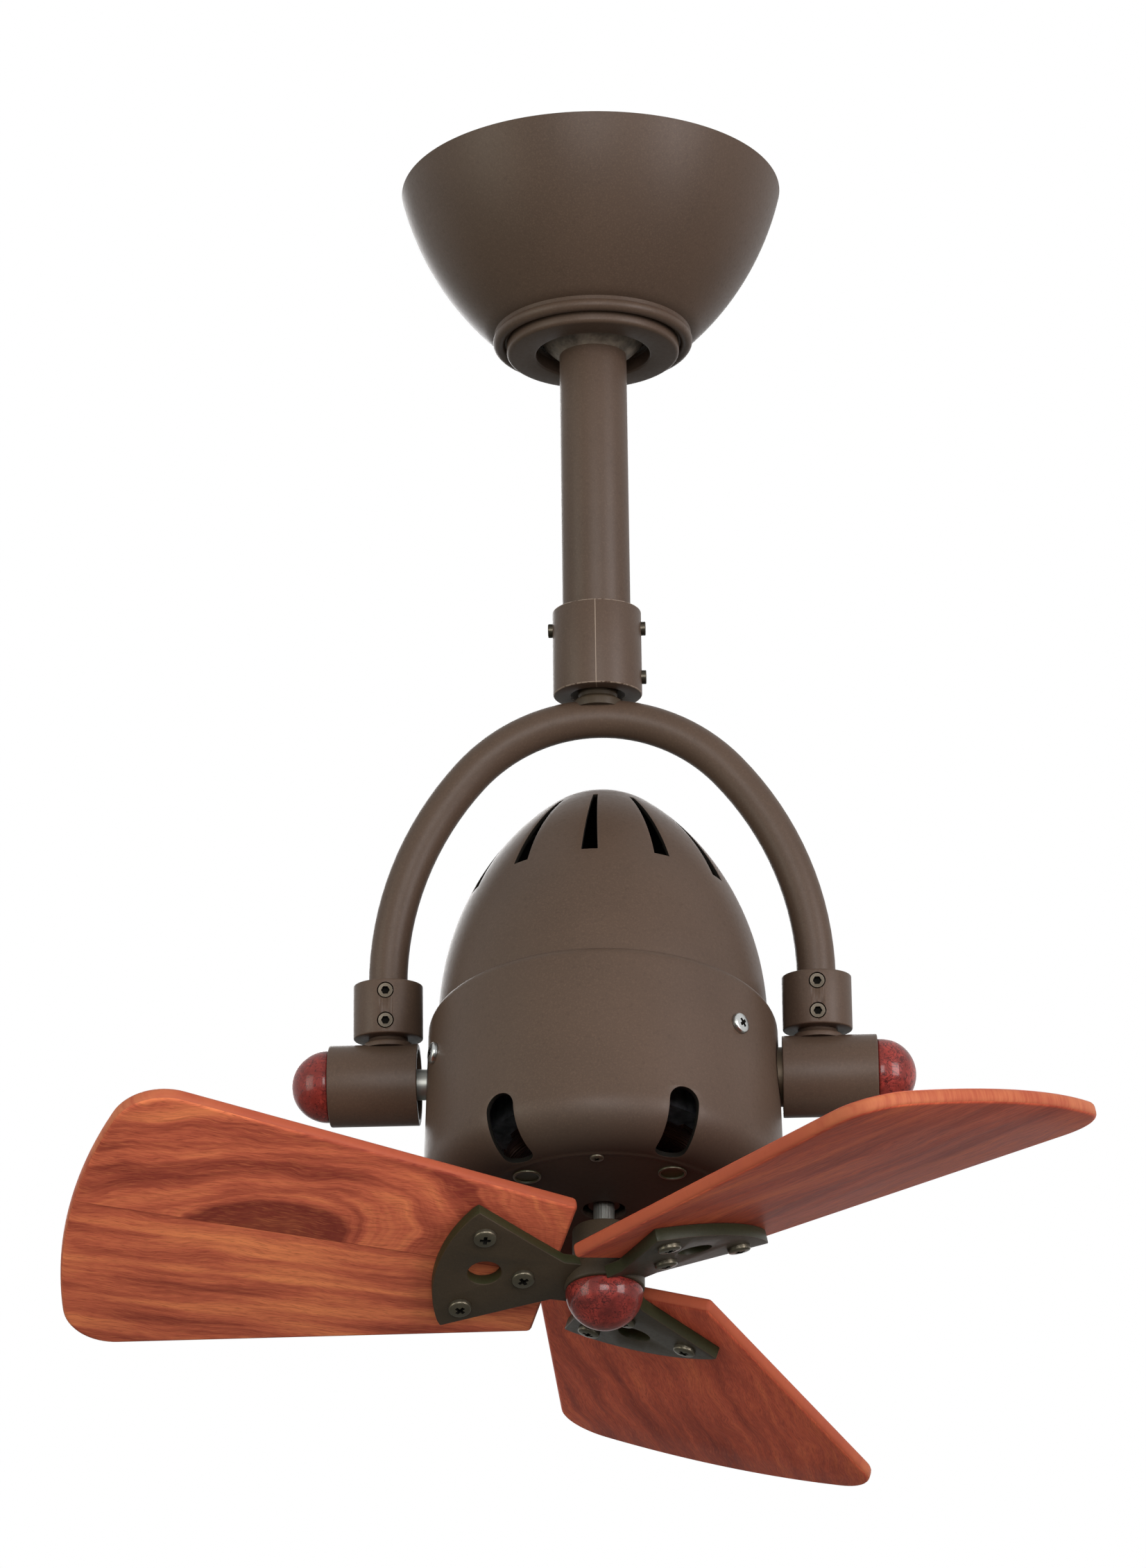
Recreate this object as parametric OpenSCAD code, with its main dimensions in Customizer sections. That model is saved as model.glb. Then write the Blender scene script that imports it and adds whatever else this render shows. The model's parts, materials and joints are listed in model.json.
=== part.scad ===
// Oscillating ceiling fan: canopy, downrod, arched yoke, tilting motor head and three wooden blades.
// Millimetres. The origin is the centre of the ceiling plane, +Z is up and the trunnions lie along X.
// Heights of the yoke and the head are measured from the trunnion axis.

/* [Hanging] */
// Ceiling plane to trunnion axis
drop = 366; // [357:1:432]
// Outer diameter of the downrod
rod_d = 26.7; // [25:0.1:27.5]
// Wall of the downrod
rod_wall = 2.8; // [2:0.1:3.5]
// Diameter of the hanger ball
ball_d = 50; // [49:0.5:52]
// Ceiling plane to centre of the hanger ball
ball_drop = 48; // [47:0.5:50]
// Diameter of the pin through ball and downrod
cross_pin_d = 6; // [4:0.5:8]

/* [Canopy] */
// Rim diameter of the canopy
canopy_d = 152; // [146:1:165]
// Ceiling plane to the underside of the canopy's floor
canopy_h = 63.4; // [62.5:0.1:65]
// Wall of the canopy
canopy_wall = 1.6; // [1:0.1:2]
// Radius of the canopy's side curve
canopy_curve = 120; // [95:1:160]
// Hole for the downrod in canopy and trim ring
rod_hole_d = 45.4; // [44:0.2:46.5]
// Outer diameter of the trim ring
ring_d = 68.8; // [67:0.2:72]
// Thickness of the trim ring
ring_t = 5.4; // [4.5:0.1:8]
// Radius of the rolled bead round the trim ring
bead_r = 2.4; // [1.6:0.1:3]

/* [Ceiling bracket] */
// Length of the bracket's plate
plate_len = 108; // [102:1:120]
// Width of the bracket's plate
plate_w = 32; // [26:1:36]
// Thickness of plate and straps
plate_t = 2.5; // [2:0.1:3]
// Distance between the two outlet box screws
box_screw_spacing = 88.9; // [84:0.1:92]
// Diameter of the outlet box screw holes
box_screw_hole_d = 5.2; // [4.4:0.1:6]

/* [Coupling] */
// Outer diameter of the coupling collar
coupling_d = 34.9; // [34:0.1:38]
// Length of the coupling collar
coupling_len = 34.3; // [33:0.1:40]
// Diameter of the swivel stem
stem_d = 15.4; // [13:0.1:17]
// Length of stem that shows above the arch
stem_show = 1.8; // [1.5:0.1:6]

/* [Yoke] */
// Outer diameter of the arch tube
arch_tube_d = 15; // [13:0.1:16]
// Wall of the arch tube
arch_tube_wall = 2; // [1.5:0.1:2.5]
// Bend radius of the arch's crown
arch_crown_r = 67.8; // [62:0.2:72]
// Gap between the top of the dome and the arch
crown_gap = 13.6; // [10:0.2:18]
// Gap between the motor cup and the arch collars
side_gap = 0.9; // [0.8:0.1:3]
// Outer diameter of the arch collars
collar_d = 26.8; // [25:0.1:28]
// Length of the arch collars
collar_len = 21.3; // [20:0.1:26]
// Length of neck that shows between collar and trunnion tube
neck_show = 2.2; // [1.5:0.1:5]
// Outer diameter of the trunnion tubes
trunnion_d = 31.5; // [30.5:0.1:34]
// Wall of the trunnion tubes
trunnion_wall = 2.2; // [1.5:0.1:2.6]
// Length of trunnion tube outside the arch's leg
trunnion_reach = 22.4; // [20:0.1:30]
// Left trunnion tube's distance from the motor cup
left_tube_gap = 2.4; // [1:0.1:4]
// Right trunnion tube's distance from the motor cup
right_tube_gap = 0.4; // [0.4:0.1:2]
// Diameter of the wooden finials
finial_d = 28; // [26:0.2:30]

/* [Motor head] */
// Tilt of the head at rest, its underside towards -Y, in degrees
head_tilt = 14; // [0:1:30]
// Largest diameter of the motor cup
cup_d = 136.6; // [134:0.2:142]
// Diameter of the cup where its lip starts
cup_top_d = 134.6; // [132:0.2:136]
// How far the cup's lip reaches in towards the dome
lip_cover = 3.5; // [2.5:0.1:4.4]
// Wall of the motor cup
cup_wall = 2; // [1.6:0.1:2.4]
// Trunnion axis to the cup's underside
cup_depth = 55; // [54:0.5:60]
// Trunnion axis to the start of the cup's lip
cup_rise = 18.5; // [18:0.1:22]
// Radius of the cup's bottom edge
cup_edge_r = 10; // [6:0.5:13]
// Diameter of the dome's foot
dome_d = 127; // [125:0.5:129]
// Radius of the dome's side curve
dome_side_r = 122; // [112:1:140]
// Radius of the dome's tip
dome_tip_r = 35; // [25:1:40]
// Wall of the dome
dome_wall = 1.5; // [1:0.1:2]
// Number of vent slots in the dome
dome_vents = 10; // [6:1:12]
// Number of vent slots in the cup
cup_vents = 6; // [3:1:6]
// Width of the cup's vent slots
cup_vent_w = 10; // [6:0.5:12]

/* [Motor] */
// Diameter of the motor shaft
shaft_d = 8; // [7:0.1:9]
// Outer diameter of the stator
stator_d = 92; // [84:1:94]
// Diameter of the rotor core
rotor_d = 50; // [44:1:54]
// Length of the stator's iron
stator_len = 30; // [24:1:32]
// Number of stator slots
stator_slots = 12; // [6:1:16]

/* [Blades] */
// Swept diameter of the blades
sweep_d = 404; // [360:1:460]
// Blade pitch in degrees
blade_pitch = 17.7; // [12:0.1:20]
// Turn of the first blade about the motor's axis, in degrees
rotor_turn = 198; // [0:1:360]
// Radius of the blades' root edge
blade_root_r = 19; // [18.5:0.5:22]
// Width of a blade at its root
blade_root_w = 71; // [60:0.5:74]
// Flare of each blade edge in degrees
blade_flare = 11.6; // [6:0.1:14]
// Thickness of a blade
blade_t = 5.5; // [4.5:0.1:8]
// Radius of the blade's tip corners
blade_corner_r = 20; // [10:0.5:30]
// Length of motor shaft that shows above the hub
shaft_show = 8.6; // [6:0.1:16]
// Diameter of the hub collar
hub_collar_d = 24; // [20:0.2:26]
// Length of the hub collar
hub_collar_len = 16.4; // [14:0.1:24]
// Diameter of the blade bracket's hub
hub_d = 30.4; // [28:0.2:32]
// Outer radius of the blade bracket
bracket_r = 64.5; // [62:0.5:72]
// Thickness of the bracket's plates
bracket_t = 5; // [3:0.1:6]
// Diameter of the wooden hub cap
cap_d = 29.2; // [26:0.2:30]

/* [Hidden] */
$fn = 64;

// Clearances
run_gap = 0.05;
press_gap = 0.02;
ball_gap = 0.3;
loose_gap = 0.3;
touch_gap = 0.1;

// Colours
bronze = [0.30, 0.25, 0.22];
dark_steel = [0.16, 0.15, 0.14];
bright_steel = [0.75, 0.76, 0.78];
brass = [0.75, 0.58, 0.28];
copper = [0.72, 0.40, 0.22];
iron = [0.42, 0.42, 0.44];
wood = [0.62, 0.27, 0.12];
burl = [0.40, 0.10, 0.08];
plastic = [0.12, 0.12, 0.13];
cream = [0.86, 0.83, 0.74];

function arc(c, r, a0, a1, n) =
  [for (i = [0:n]) let (t = a0 + (a1 - a0) * i / n) [c[0] + r * cos(t), c[1] + r * sin(t)]];

// A cylinder whose axis lies along X, from x0 to x1
module rod_x(x0, x1, r) {
  translate([x0, 0, 0]) rotate([0, 90, 0]) cylinder(h = x1 - x0, r = r);
}

// Places things in the yoke's, the head's and the rotor's own frames
module at_trunnion() { translate([0, 0, -drop]) children(); }
module at_head() { at_trunnion() rotate([-head_tilt, 0, 0]) children(); }
module at_rotor() { at_head() rotate([0, 0, rotor_turn]) children(); }

// Hanger ball and ceiling bracket
ball_r = ball_d / 2;
rod_r = rod_d / 2;
rod_bore_r = rod_r - rod_wall;
floor_z = -canopy_h;
floor_top_z = floor_z + canopy_wall;
seat_h = 6.8;
seat_r = 31;
strap_gap = 0.7;
strap_x = ball_r + ball_gap + strap_gap;
strap_w = 24;
tab_w = 26;
tab_len = 18;
canopy_screw_r = 28.1;
canopy_screw_shank_r = 1.95;
canopy_screw_head_r = 3.4;
canopy_screw_head_h = 2.2;
wire_hole_r = 8;

module ceiling_bracket() {
  color(bright_steel) difference() {
    union() {
      translate([-plate_len / 2, -plate_w / 2, -plate_t]) cube([plate_len, plate_w, plate_t]);
      translate([-tab_w / 2, plate_w / 2 - 1, -plate_t]) cube([tab_w, tab_len + 1, plate_t]);
      for (side = [-1, 1])
        translate([side > 0 ? strap_x : -strap_x - plate_t, -strap_w / 2, floor_top_z])
          cube([plate_t, strap_w, -floor_top_z - plate_t / 2]);
      translate([0, 0, floor_top_z]) cylinder(h = seat_h, r = seat_r);
    }
    translate([0, 0, -ball_drop]) sphere(r = ball_r + ball_gap);
    translate([0, 0, -plate_t - 1]) cylinder(h = plate_t + 2, r = wire_hole_r);
    for (side = [-1, 1]) {
      translate([side * box_screw_spacing / 2, 0, -plate_t - 1])
        cylinder(h = plate_t + 2, d = box_screw_hole_d);
      translate([0, side * canopy_screw_r, floor_top_z - 1])
        cylinder(h = seat_h + 2, r = canopy_screw_shank_r + run_gap);
    }
  }
}

block_size = [22, 13, 12];
block_pitch = 7;
block_hole_r = 2;
block_hole_depth = 6;
module terminal_block() {
  block_y = plate_w / 2 + 3;
  block_foot_z = -plate_t - block_size[2];
  color(cream) difference() {
    translate([-block_size[0] / 2, block_y, block_foot_z]) cube(block_size);
    for (k = [-1:1]) translate([k * block_pitch, block_y + block_size[1] / 2, block_foot_z - 1])
      cylinder(h = block_hole_depth + 1, r = block_hole_r);
  }
}

// Canopy, its screws and the trim ring
canopy_r = canopy_d / 2;
ring_r = ring_d / 2;
rod_hole_r = rod_hole_d / 2;
bead_lift = 0.4;
bead_c = [ring_r + 0.6 + bead_r, floor_z + bead_lift];
bowl_foot = [bead_c[0] + 4.6, floor_z + 5];
// Centre of the side curve, from the rim and the foot that it passes through
bowl_chord = [bowl_foot[0] - canopy_r, bowl_foot[1]];
bowl_half = norm(bowl_chord) / 2;
bowl_out = [-bowl_chord[1], bowl_chord[0]] / norm(bowl_chord);
bowl_depth = sqrt(canopy_curve * canopy_curve - bowl_half * bowl_half);
bowl_c = [canopy_r, 0] + bowl_chord / 2 - bowl_out * bowl_depth;
bowl_a0 = atan2(-bowl_c[1], canopy_r - bowl_c[0]);
bowl_a1 = atan2(bowl_foot[1] - bowl_c[1], bowl_foot[0] - bowl_c[0]);
bowl_inner_r = canopy_curve - canopy_wall;
bowl_inner_a0 = -asin(bowl_c[1] / bowl_inner_r);

module canopy() {
  color(bronze) difference() {
    rotate_extrude() polygon(concat(
      arc(bowl_c, canopy_curve, bowl_a0, bowl_a1, 20),
      arc(bead_c, bead_r, 60, asin(bead_lift / bead_r) - 180, 12),
      [[rod_hole_r, floor_z], [rod_hole_r, floor_top_z], [bead_c[0] - bead_r + 1, floor_top_z]],
      arc(bowl_c, bowl_inner_r, bowl_a1, bowl_inner_a0, 20)));
    for (side = [-1, 1])
      translate([0, side * canopy_screw_r, floor_z - 1])
        cylinder(h = canopy_wall + 2, r = canopy_screw_shank_r + loose_gap);
  }
}

// A pan-head screw: shank from z = 0 upwards, domed head below, with a cross recess
module pan_screw(shank_r, shank_len, head_r, head_h) {
  recess = head_r * 0.55;
  difference() {
    union() {
      translate([0, 0, -0.01]) cylinder(h = shank_len + 0.01, r = shank_r);
      rotate_extrude() polygon([[0, 0], [head_r, 0], [head_r, -head_h * 0.35],
        [head_r * 0.85, -head_h * 0.75], [head_r * 0.5, -head_h], [0, -head_h]]);
    }
    for (turn = [0, 90]) rotate([0, 0, turn])
      translate([-recess, -recess * 0.25, -head_h - 1]) cube([2 * recess, recess * 0.5, 1 + head_h * 0.6]);
  }
}

module canopy_screws() {
  color(dark_steel) for (side = [-1, 1])
    translate([0, side * canopy_screw_r, floor_z])
      pan_screw(canopy_screw_shank_r, canopy_wall + seat_h - 0.5, canopy_screw_head_r, canopy_screw_head_h);
}

ring_recess_h = 3;
ring_edge_r = 2;
module trim_ring() {
  inner_lip = rod_hole_r + 1.5;
  outer_lip = ring_r - 2.2;
  color(bronze) rotate_extrude() polygon(concat(
    [[rod_hole_r, floor_z], [inner_lip, floor_z], [inner_lip, floor_z - ring_recess_h],
     [outer_lip, floor_z - ring_recess_h], [outer_lip, floor_z], [ring_r, floor_z]],
    arc([ring_r - ring_edge_r, floor_z - ring_t + ring_edge_r], ring_edge_r, 0, -90, 5),
    [[rod_hole_r + 1, floor_z - ring_t], [rod_hole_r, floor_z - ring_t + 1]]));
}

// Downrod and what swings with it
rod_top_z = ball_r - 2 - ball_drop;
arch_tube_r = arch_tube_d / 2;
dome_foot_r = dome_d / 2;
dome_foot_h = 25;
// The dome's side curve is centred at dome_side_c and its tip curve on the axis at dome_tip_h
dome_side_c = [dome_foot_r - dome_side_r, dome_foot_h];
dome_tip_h = dome_foot_h + sqrt(pow(dome_side_r - dome_tip_r, 2) - pow(dome_side_c[0], 2));
dome_apex = dome_tip_h + dome_tip_r;
dome_join_a = atan2(dome_tip_h - dome_foot_h, -dome_side_c[0]);
// The arch: legs, side curves and crown, all tangent
cup_r = cup_d / 2;
cup_top_r = cup_top_d / 2;
head_r = max(cup_r, cup_top_r, dome_foot_r);
arch_half = head_r + side_gap + collar_d / 2;
trunnion_r = trunnion_d / 2;
collar_z = trunnion_r + neck_show;
collar_top = collar_z + collar_len;
arch_apex = dome_apex + crown_gap + arch_tube_r;
arch_rise = arch_apex - collar_top;
arch_side_r = (pow(arch_half, 2) + pow(arch_rise, 2) - 2 * arch_rise * arch_crown_r)
  / (2 * (arch_half - arch_crown_r));
arch_crown_z = arch_apex - arch_crown_r;
arch_join_a = atan2(arch_crown_z - collar_top, arch_side_r - arch_half);
// The coupling stands on the arch's crown
coupling_r = coupling_d / 2;
coupling_z = -drop + arch_apex + arch_tube_r + stem_show;
coupling_top = coupling_z + coupling_len;
stem_r = stem_d / 2;
shelf_z = coupling_z + 11.3;
washer_t = 1;
flange_r = 12.2;
flange_t = 3.6;
flange_z = shelf_z + washer_t + touch_gap;
rod_foot_z = flange_z + flange_t + 2.2;
set_screw_r = 2.75;
set_screw_proud = 1.8;
upper_screw_z = coupling_top - 7;
lower_screw_z = coupling_z + 7.3;
lead_r = 2.2;
lead_hole_r = lead_r + 0.6;

ball_screw_r = 2.5;
ball_screw_end = ball_r * 0.84;
module hanger_ball() {
  color(dark_steel) translate([0, 0, -ball_drop]) difference() {
    sphere(r = ball_r);
    cylinder(h = ball_d + 2, r = rod_r + press_gap, center = true);
    rotate([90, 0, 0]) cylinder(h = ball_d + 2, r = cross_pin_d / 2 + press_gap, center = true);
    translate([0, 0, ball_r / 2]) rod_x(0, ball_r + 1, ball_screw_r + press_gap);
  }
}

module cross_pin() {
  color(bright_steel) translate([0, 0, -ball_drop]) rotate([90, 0, 0])
    cylinder(h = ball_d - 6, d = cross_pin_d, center = true);
}

module ball_screw() {
  color(dark_steel) translate([0, 0, -ball_drop + ball_r / 2]) difference() {
    rod_x(rod_r + touch_gap, ball_screw_end, ball_screw_r);
    translate([ball_screw_end - 2, 0, 0]) rotate([0, 90, 0])
      cylinder(h = 3, r = ball_screw_r * 0.56, $fn = 6);
  }
}

module downrod() {
  color(bronze) difference() {
    translate([0, 0, rod_foot_z]) cylinder(h = rod_top_z - rod_foot_z, r = rod_r);
    translate([0, 0, rod_foot_z - 1]) cylinder(h = rod_top_z - rod_foot_z + 2, r = rod_bore_r);
    translate([0, 0, -ball_drop]) rotate([90, 0, 0])
      cylinder(h = rod_d + 2, r = cross_pin_d / 2 + press_gap, center = true);
  }
}

rod_lead_r = 2.8;
module rod_lead() {
  color(plastic) translate([rod_lead_r + loose_gap - rod_bore_r, 0, rod_foot_z + 1])
    cylinder(h = rod_top_z + 4 - rod_foot_z, r = rod_lead_r);
}

module coupling_collar() {
  color(bronze) difference() {
    translate([0, 0, coupling_z]) cylinder(h = coupling_len, r = coupling_r);
    translate([0, 0, rod_foot_z]) cylinder(h = coupling_len, r = rod_r + press_gap);
    translate([0, 0, shelf_z]) cylinder(h = rod_foot_z - shelf_z + 1, r = flange_r + loose_gap);
    translate([0, 0, coupling_z - 1]) cylinder(h = coupling_len, r = stem_r + run_gap);
    translate([0, 0, upper_screw_z]) rod_x(-coupling_r - 1, coupling_r + 1, set_screw_r + press_gap);
    translate([0, 0, lower_screw_z]) rod_x(0, coupling_r + 1, set_screw_r + press_gap);
  }
}

// A headless screw along X with a hexagon socket in its outer end
module socket_screw(x0, x1, r) {
  difference() {
    rod_x(x0, x1, r);
    translate([x1 - r * 0.8, 0, 0]) rotate([0, 90, 0]) cylinder(h = r, r = r * 0.58, $fn = 6);
  }
}

module coupling_screws() {
  color(dark_steel) {
    for (turn = [0, 180]) rotate([0, 0, turn]) translate([0, 0, upper_screw_z])
      socket_screw(rod_r + touch_gap, coupling_r + set_screw_proud, set_screw_r);
    translate([0, 0, lower_screw_z])
      socket_screw(stem_r + loose_gap, coupling_r + set_screw_proud, set_screw_r);
  }
}

// A bend of the arch: sweeps a section along an arc in the XZ plane
module bend(c, radius, start, sweep) {
  translate([c[0], 0, c[1]]) rotate([90, 0, 0])
    rotate_extrude(angle = sweep, start = start) translate([radius, 0]) children();
}
module crown_bend(gain, over) {
  bend([0, arch_crown_z], arch_crown_r + gain, arch_join_a - over, 180 - 2 * (arch_join_a - over)) children();
}
module side_bend(gain) {
  bend([arch_half - arch_side_r, collar_top], arch_side_r + gain, 0, arch_join_a) children();
}

// The crown and the legs reach a little into the side bends, a hair slimmer
arch_end_z = collar_z + collar_len / 2;
join_step = 0.03;
join_over = 0.5;

module arch_section(step) {
  difference() {
    circle(r = arch_tube_r - step);
    circle(r = arch_tube_r - arch_tube_wall + step);
  }
}

module yoke_arch() {
  color(bronze) at_trunnion() difference() {
    union() {
      crown_bend(0, join_over) arch_section(join_step);
      for (side = [0, 1]) mirror([side, 0, 0]) {
        side_bend(0) arch_section(0);
        translate([arch_half, 0, arch_end_z])
          linear_extrude(collar_top - arch_end_z + join_over) arch_section(join_step);
      }
    }
    translate([0, 0, arch_apex]) cylinder(h = arch_tube_d, r = lead_hole_r);
  }
}

// The leads lie against the outside of every bend and rise through the stem
lead_gain = arch_tube_r - arch_tube_wall - lead_r - loose_gap;
module arch_lead() {
  color(plastic) at_trunnion() {
    side_bend(lead_gain) circle(r = lead_r);
    bend([0, arch_crown_z], arch_crown_r + lead_gain, arch_join_a - join_over, 90 - arch_join_a + join_over)
      circle(r = lead_r - join_step);
    translate([arch_half + lead_gain, 0, arch_end_z])
      cylinder(h = collar_top - arch_end_z + join_over, r = lead_r - join_step);
    translate([0, 0, arch_apex + lead_gain])
      cylinder(h = flange_z + flange_t + drop - arch_apex - lead_gain, r = lead_r);
  }
}

module swivel_stem() {
  stem_foot = arch_apex + arch_tube_r / 2;
  color(bronze) at_trunnion() difference() {
    union() {
      translate([0, 0, stem_foot]) cylinder(h = flange_z + drop - stem_foot, r = stem_r);
      translate([0, 0, flange_z + drop]) cylinder(h = flange_t, r = flange_r);
    }
    crown_bend(0, 0) circle(r = arch_tube_r);
    translate([0, 0, arch_apex]) cylinder(h = flange_z + flange_t + drop, r = lead_hole_r);
  }
}

module thrust_washer() {
  color(cream) translate([0, 0, shelf_z]) difference() {
    cylinder(h = washer_t, r = flange_r);
    translate([0, 0, -1]) cylinder(h = washer_t + 2, r = stem_r + loose_gap);
  }
}

// Collars that clamp the arch's legs to the trunnion tubes
collar_r = collar_d / 2;
spigot_top = arch_end_z - 0.5;
collar_screw_r = 3;
collar_screw_up = 6;
collar_screw_down = 5.8;
collar_screw_proud = 0.2;
collar_screw_heights = [arch_end_z + collar_screw_up, arch_end_z - collar_screw_down];

module arch_collar(side) {
  color(bronze) at_trunnion() translate([side * arch_half, 0, 0]) difference() {
    translate([0, 0, collar_z]) cylinder(h = collar_len, r = collar_r);
    translate([0, 0, collar_z - 1]) cylinder(h = collar_len + 2, r = arch_tube_r + press_gap);
    for (h = collar_screw_heights) translate([0, 0, h]) rotate([0, 0, -90])
      rod_x(0, collar_r + 1, collar_screw_r + press_gap);
  }
}
module arch_collar_left() { arch_collar(-1); }
module arch_collar_right() { arch_collar(1); }

module collar_screws() {
  color(dark_steel) at_trunnion() for (side = [-1, 1], h = collar_screw_heights)
    translate([side * arch_half, 0, h]) rotate([0, 0, -90])
      socket_screw(arch_tube_r + touch_gap, collar_r + collar_screw_proud, collar_screw_r);
}

// Trunnion tubes: each has a spigot that enters its collar
tube_end = arch_half + trunnion_reach;
tube_bore_r = trunnion_r - trunnion_wall;
left_tube_start = head_r + left_tube_gap;
right_tube_start = head_r + right_tube_gap;

module trunnion_tube(side, start) {
  color(bronze) at_trunnion() mirror([side < 0 ? 1 : 0, 0, 0]) difference() {
    union() {
      rod_x(start, tube_end, trunnion_r);
      translate([arch_half, 0, trunnion_r / 2])
        cylinder(h = spigot_top - trunnion_r / 2, r = arch_tube_r - press_gap);
    }
    rod_x(start - 1, tube_end + 1, tube_bore_r);
    translate([arch_half, 0, 0]) cylinder(h = spigot_top + 1, r = lead_hole_r);
  }
}
module trunnion_tube_left() { trunnion_tube(-1, left_tube_start); }
module trunnion_tube_right() { trunnion_tube(1, right_tube_start); }

// Left trunnion: a stepped shaft fixed in the tube, running in a bush in the cup
pivot_r = 6;
plug_out = tube_end - 6.5;
plug_in = arch_half - 2.6;
boss_r = 13;
boss_len = 6.3;
// Outer radius of the cup's wall at a height above the trunnion axis
cup_edge_z = cup_edge_r - cup_depth;
function cup_side_r(h) = cup_r + (cup_top_r - cup_r) * (h - cup_edge_z) / (cup_rise - cup_edge_z);
boss_in = cup_side_r(0) - cup_wall - boss_len;
bush_wall = 2;
bush_inset = 0.7;
bush_flange_t = 1;

module trunnion_shaft() {
  color(bright_steel) at_trunnion() {
    rod_x(-plug_out, -plug_in, tube_bore_r - press_gap);
    rod_x(-plug_in - 0.01, -boss_in + 3.2, pivot_r);
  }
}

module shaft_clip() {
  color(dark_steel) at_trunnion() difference() {
    rod_x(-boss_in + 1.2, -boss_in + 2.4, pivot_r + 2.6);
    rod_x(-boss_in + 1, -boss_in + 3, pivot_r + press_gap);
  }
}

module trunnion_bush() {
  color(brass) at_head() difference() {
    union() {
      rod_x(bush_inset - cup_side_r(0), bush_flange_t - boss_in, pivot_r + bush_wall);
      rod_x(-boss_in, bush_flange_t - boss_in, pivot_r + bush_wall + 2);
    }
    rod_x(-cup_side_r(0), -boss_in + 2, pivot_r + run_gap);
  }
}

// Right trunnion: a hollow hub fixed to the cup, with an internal gear that the motor's pinion drives
gear_m = 0.5;
ring_teeth = 36;
pinion_teeth = 12;
pressure_a = 20;
gear_slack = 0.05;
pinion_offset = gear_m * (ring_teeth - pinion_teeth) / 2;
drive_r = 11.5;
gear_depth = 8;
drive_end = right_tube_start + 11.6;
gear_start = drive_end - gear_depth;

function roll(r, base) = tan(acos(min(1, base / r))) * 180 / PI - acos(min(1, base / r));
// Outline of an involute gear, with one tooth centred on +X
function gear_points(teeth, tip_r, root_r, slack) =
  let (pitch_r = gear_m * teeth / 2, base = pitch_r * cos(pressure_a),
       half = 90 / teeth - slack / pitch_r * 90 / PI, foot_r = max(base, root_r),
       radii = [for (i = [0:4]) foot_r + (tip_r - foot_r) * i / 4],
       turns = [for (r = radii) half + roll(pitch_r, base) - roll(r, base)])
  [for (k = [0:teeth - 1]) let (a = 360 * k / teeth)
    each concat(
      [root_r * [cos(a - turns[0]), sin(a - turns[0])]],
      [for (i = [0:4]) radii[i] * [cos(a - turns[i]), sin(a - turns[i])]],
      [for (i = [4:-1:0]) radii[i] * [cos(a + turns[i]), sin(a + turns[i])]],
      [root_r * [cos(a + turns[0]), sin(a + turns[0])]])];

module drive_hub() {
  ring_pitch_r = gear_m * ring_teeth / 2;
  color(brass) at_head() difference() {
    union() {
      rod_x(boss_in - 2, drive_end, drive_r);
      rod_x(boss_in - 2, boss_in, boss_r);
    }
    rotate([head_tilt, 0, 0]) translate([gear_start, 0, 0]) rotate([0, 90, 0])
      linear_extrude(gear_depth + 1)
        polygon(gear_points(ring_teeth, ring_pitch_r + 1.25 * gear_m, ring_pitch_r - gear_m, 0));
    rod_x(boss_in - 3, drive_end, 3);
  }
}

module drive_bush() {
  color(brass) at_trunnion() difference() {
    rod_x(right_tube_start + 0.4, drive_end - 0.6, tube_bore_r - press_gap);
    rod_x(right_tube_start, drive_end, drive_r + run_gap);
  }
}

osc_start = drive_end + 0.6;
pinion_shaft_r = 1.5;
module oscillation_motor() {
  color(bright_steel) at_trunnion() difference() {
    rod_x(osc_start, tube_end - 5.2, tube_bore_r - press_gap);
    translate([0, 0, -pinion_offset]) rod_x(osc_start - 1, osc_start + 6, pinion_shaft_r + run_gap);
  }
}

module drive_pinion() {
  pitch_r = gear_m * pinion_teeth / 2;
  color(dark_steel) at_trunnion() translate([0, 0, -pinion_offset]) {
    translate([gear_start + 0.6, 0, 0]) rotate([0, 90, 0]) linear_extrude(gear_depth - 1)
      polygon(gear_points(pinion_teeth, pitch_r + 0.8 * gear_m, pitch_r - 1.1 * gear_m, gear_slack));
    rod_x(gear_start + 1, osc_start + 5, pinion_shaft_r);
  }
}

// A turned wooden knob: a dome on a spigot, along Z
module knob(d, spigot_r, spigot_len, bore_r, bore_len) {
  difference() {
    union() {
      rotate_extrude() intersection() {
        translate([0, -0.4]) circle(r = d / 2);
        square(d);
      }
      if (spigot_len > 0) translate([0, 0, -spigot_len]) cylinder(h = spigot_len + 0.01, r = spigot_r);
    }
    if (bore_r > 0) translate([0, 0, -spigot_len - 1]) cylinder(h = bore_len + spigot_len + 1, r = bore_r);
  }
}

module finial(side) {
  color(burl) at_trunnion() translate([side * tube_end, 0, 0]) rotate([0, side * 90, 0])
    knob(finial_d, tube_bore_r - press_gap, 5, 0, 0);
}
module finial_left() { finial(-1); }
module finial_right() { finial(1); }

// Motor housing
screw_turns = [81, 201, 321];
housing_screw_h = 1;
housing_shank_r = 2;
tab_half = 6;
skirt_gap = 0.3;
lip_r = 4.5;
lip_in = cup_top_r - lip_cover;
skirt_r = lip_in - skirt_gap;
dome_lap = 0.02;
dome_vent_turn = 267;
dome_vent_low = dome_foot_h + 46.7;
dome_vent_high = dome_apex - 12.9;
dome_vent_in = dome_foot_r * 0.16;
dome_vent_w = [6.2, 1.6];

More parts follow.
